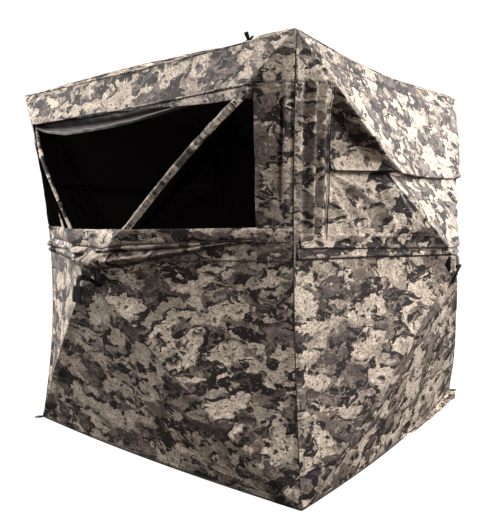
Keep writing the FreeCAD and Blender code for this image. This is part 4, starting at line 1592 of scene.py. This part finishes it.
def hub_cover(side):
    """Patch of the print drawn over the hub's cap; the strap comes out through its middle."""
    radius = np.linspace(0.0, COVER_RADIUS, 26)[:, None]
    angle = circle(72)[None, :]
    u, v = radius * np.cos(angle), radius * np.sin(angle)
    points = surface(side, u, v, 0.0016)
    height = (points - side.centre) @ side.n
    over_cap = side.rise + 0.0045 - 2.0 * np.maximum(0.0, radius - CAP_RADIUS)
    points = points + (np.maximum(height, over_cap) - height)[..., None] * side.n
    cut = Cut()
    cut.add(points, cloth_places(side, u + 0.6, v + 0.3), close=True)
    piece = cut.build(side.name + "_hub_cover", [CAMO, LINING], side.n, CLOTH)
    carry(piece, side.name + "_hub", "camo_fabric")


def hub_tail():
    """Webbing sewn down beside the front hub, which runs over it to the strap."""
    side = SIDES["front"]
    u, v = rounded(HUB_TAIL, 0.002).T
    rise = side.rise + 0.0075 - 0.9 * np.maximum(0.0, np.hypot(u, v) - 0.034)
    cut = Cut()
    tube(cut, side.world(u, v, rise), 0.0018, 0.0085, side.n, 0.45, 20)
    carry(cut.build("front_hub_webbing_tail", [WEBBING]), "front_hub", "black_webbing")


def dress_carried_nodes():
    """Detailed finishes on the hubs and poles that stay as they are."""
    for name, node in frame["nodes"].items():
        finish = ROD if name.endswith("_pole") else POLYMER if name.endswith("_hub") else None
        if finish:
            node.data.materials.clear()
            node.data.materials.append(finish)


# ---- Stage and light ------------------------------------------------------------------
FLOOR_HALF = 60.0
BACKDROP_RADIUS = 58.0
SKY_STRENGTH = 0.16
LIGHTS = (  # name, place, what it aims at, size, watts
    ("front_light", (-2.1, -2.6, 4.4), (-0.1, -0.4, 1.0), (2.2, 2.2), 335),
    ("right_light", (2.7, 1.7, 4.4), (0.4, 0, 1.0), (2.2, 2.2), 345),
    ("side_light", (4.1, -0.3, 2.3), (0.8, -0.2, 1.1), (1.8, 1.4), 222),
    ("low_light", (-2.2, -2.4, 1.2), (-0.3, -0.8, 0.7), (1.4, 1.4), 52),
    ("left_light", (-4.0, -0.6, 2.2), (-0.3, -0.2, 0.9), (2.4, 2.8), 165),
    ("rear_light", (2.6, 3.6, 2.0), (0.6, 0.3, 0.8), (2.0, 2.4), 170),
)


def soft_light(name, place, target, size, power):
    data = bpy.data.lights.new(name, "AREA")
    data.shape = "RECTANGLE"
    data.size, data.size_y = size
    data.energy = power
    lamp = linked(name, data)
    lamp.location = place
    lamp.rotation_euler = (Vector(target) - Vector(place)).to_track_quat("-Z", "Y").to_euler()


def white_floor():
    """White paper that the camera sees, but which casts no light on the blind."""
    mesh = bpy.data.meshes.new("floor")
    mesh.from_pydata([(x * FLOOR_HALF, y * FLOOR_HALF, 0) for x, y in CORNERS], [], [(0, 1, 2, 3)])
    m = Nodes("floor_paper")
    m.shade(Base_Color=(0.12, 0.12, 0.12), Roughness=0.9, Specular_IOR_Level=0.0)
    m.shade(Emission_Color=(1.0, 1.0, 1.0), Emission_Strength=1.0)
    mesh.materials.append(m.material)
    floor = linked("floor", mesh)
    floor.location.z = -0.001
    return floor


def backdrop():
    """White studio walls far round the blind."""
    mesh = bpy.data.meshes.new("backdrop")
    work = bmesh.new()
    bmesh.ops.create_uvsphere(work, u_segments=48, v_segments=24, radius=BACKDROP_RADIUS)
    work.to_mesh(mesh)
    work.free()
    m = Nodes("backdrop_paper")
    m.shade(Base_Color=(0.9, 0.9, 0.9), Emission_Color=(1.0, 1.0, 1.0), Emission_Strength=1.0)
    mesh.materials.append(m.material)
    dome = linked("backdrop", mesh)
    dome.visible_transmission = False
    dome.visible_shadow = False
    return dome


def make_stage():
    floor = white_floor()
    dome = backdrop()
    for thing in (floor, dome):
        thing.visible_diffuse = False
        thing.visible_glossy = False
    world = bpy.data.worlds.new("studio")
    bpy.context.scene.world = world
    world.use_nodes = True
    sky = world.node_tree.nodes["Background"]
    sky.inputs[0].default_value = (1.0, 1.0, 1.0, 1.0)
    sky.inputs[1].default_value = SKY_STRENGTH
    for light in LIGHTS:
        soft_light(*light)
    bpy.context.scene.view_settings.view_transform = "Standard"


make_panels()
make_window()
make_side_windows()
make_door()
seam_bindings()
corner_patch_pieces()
corner_gussets()
pole_pocket_sleeves()
make_skirts()
make_stake_tabs()
for each_side in SIDES.values():
    make_strap(each_side)
    hub_cover(each_side)
hub_tail()
sew_panel_borders()
finish_sewing()
finish_painted_shade()
dress_carried_nodes()
make_stage()
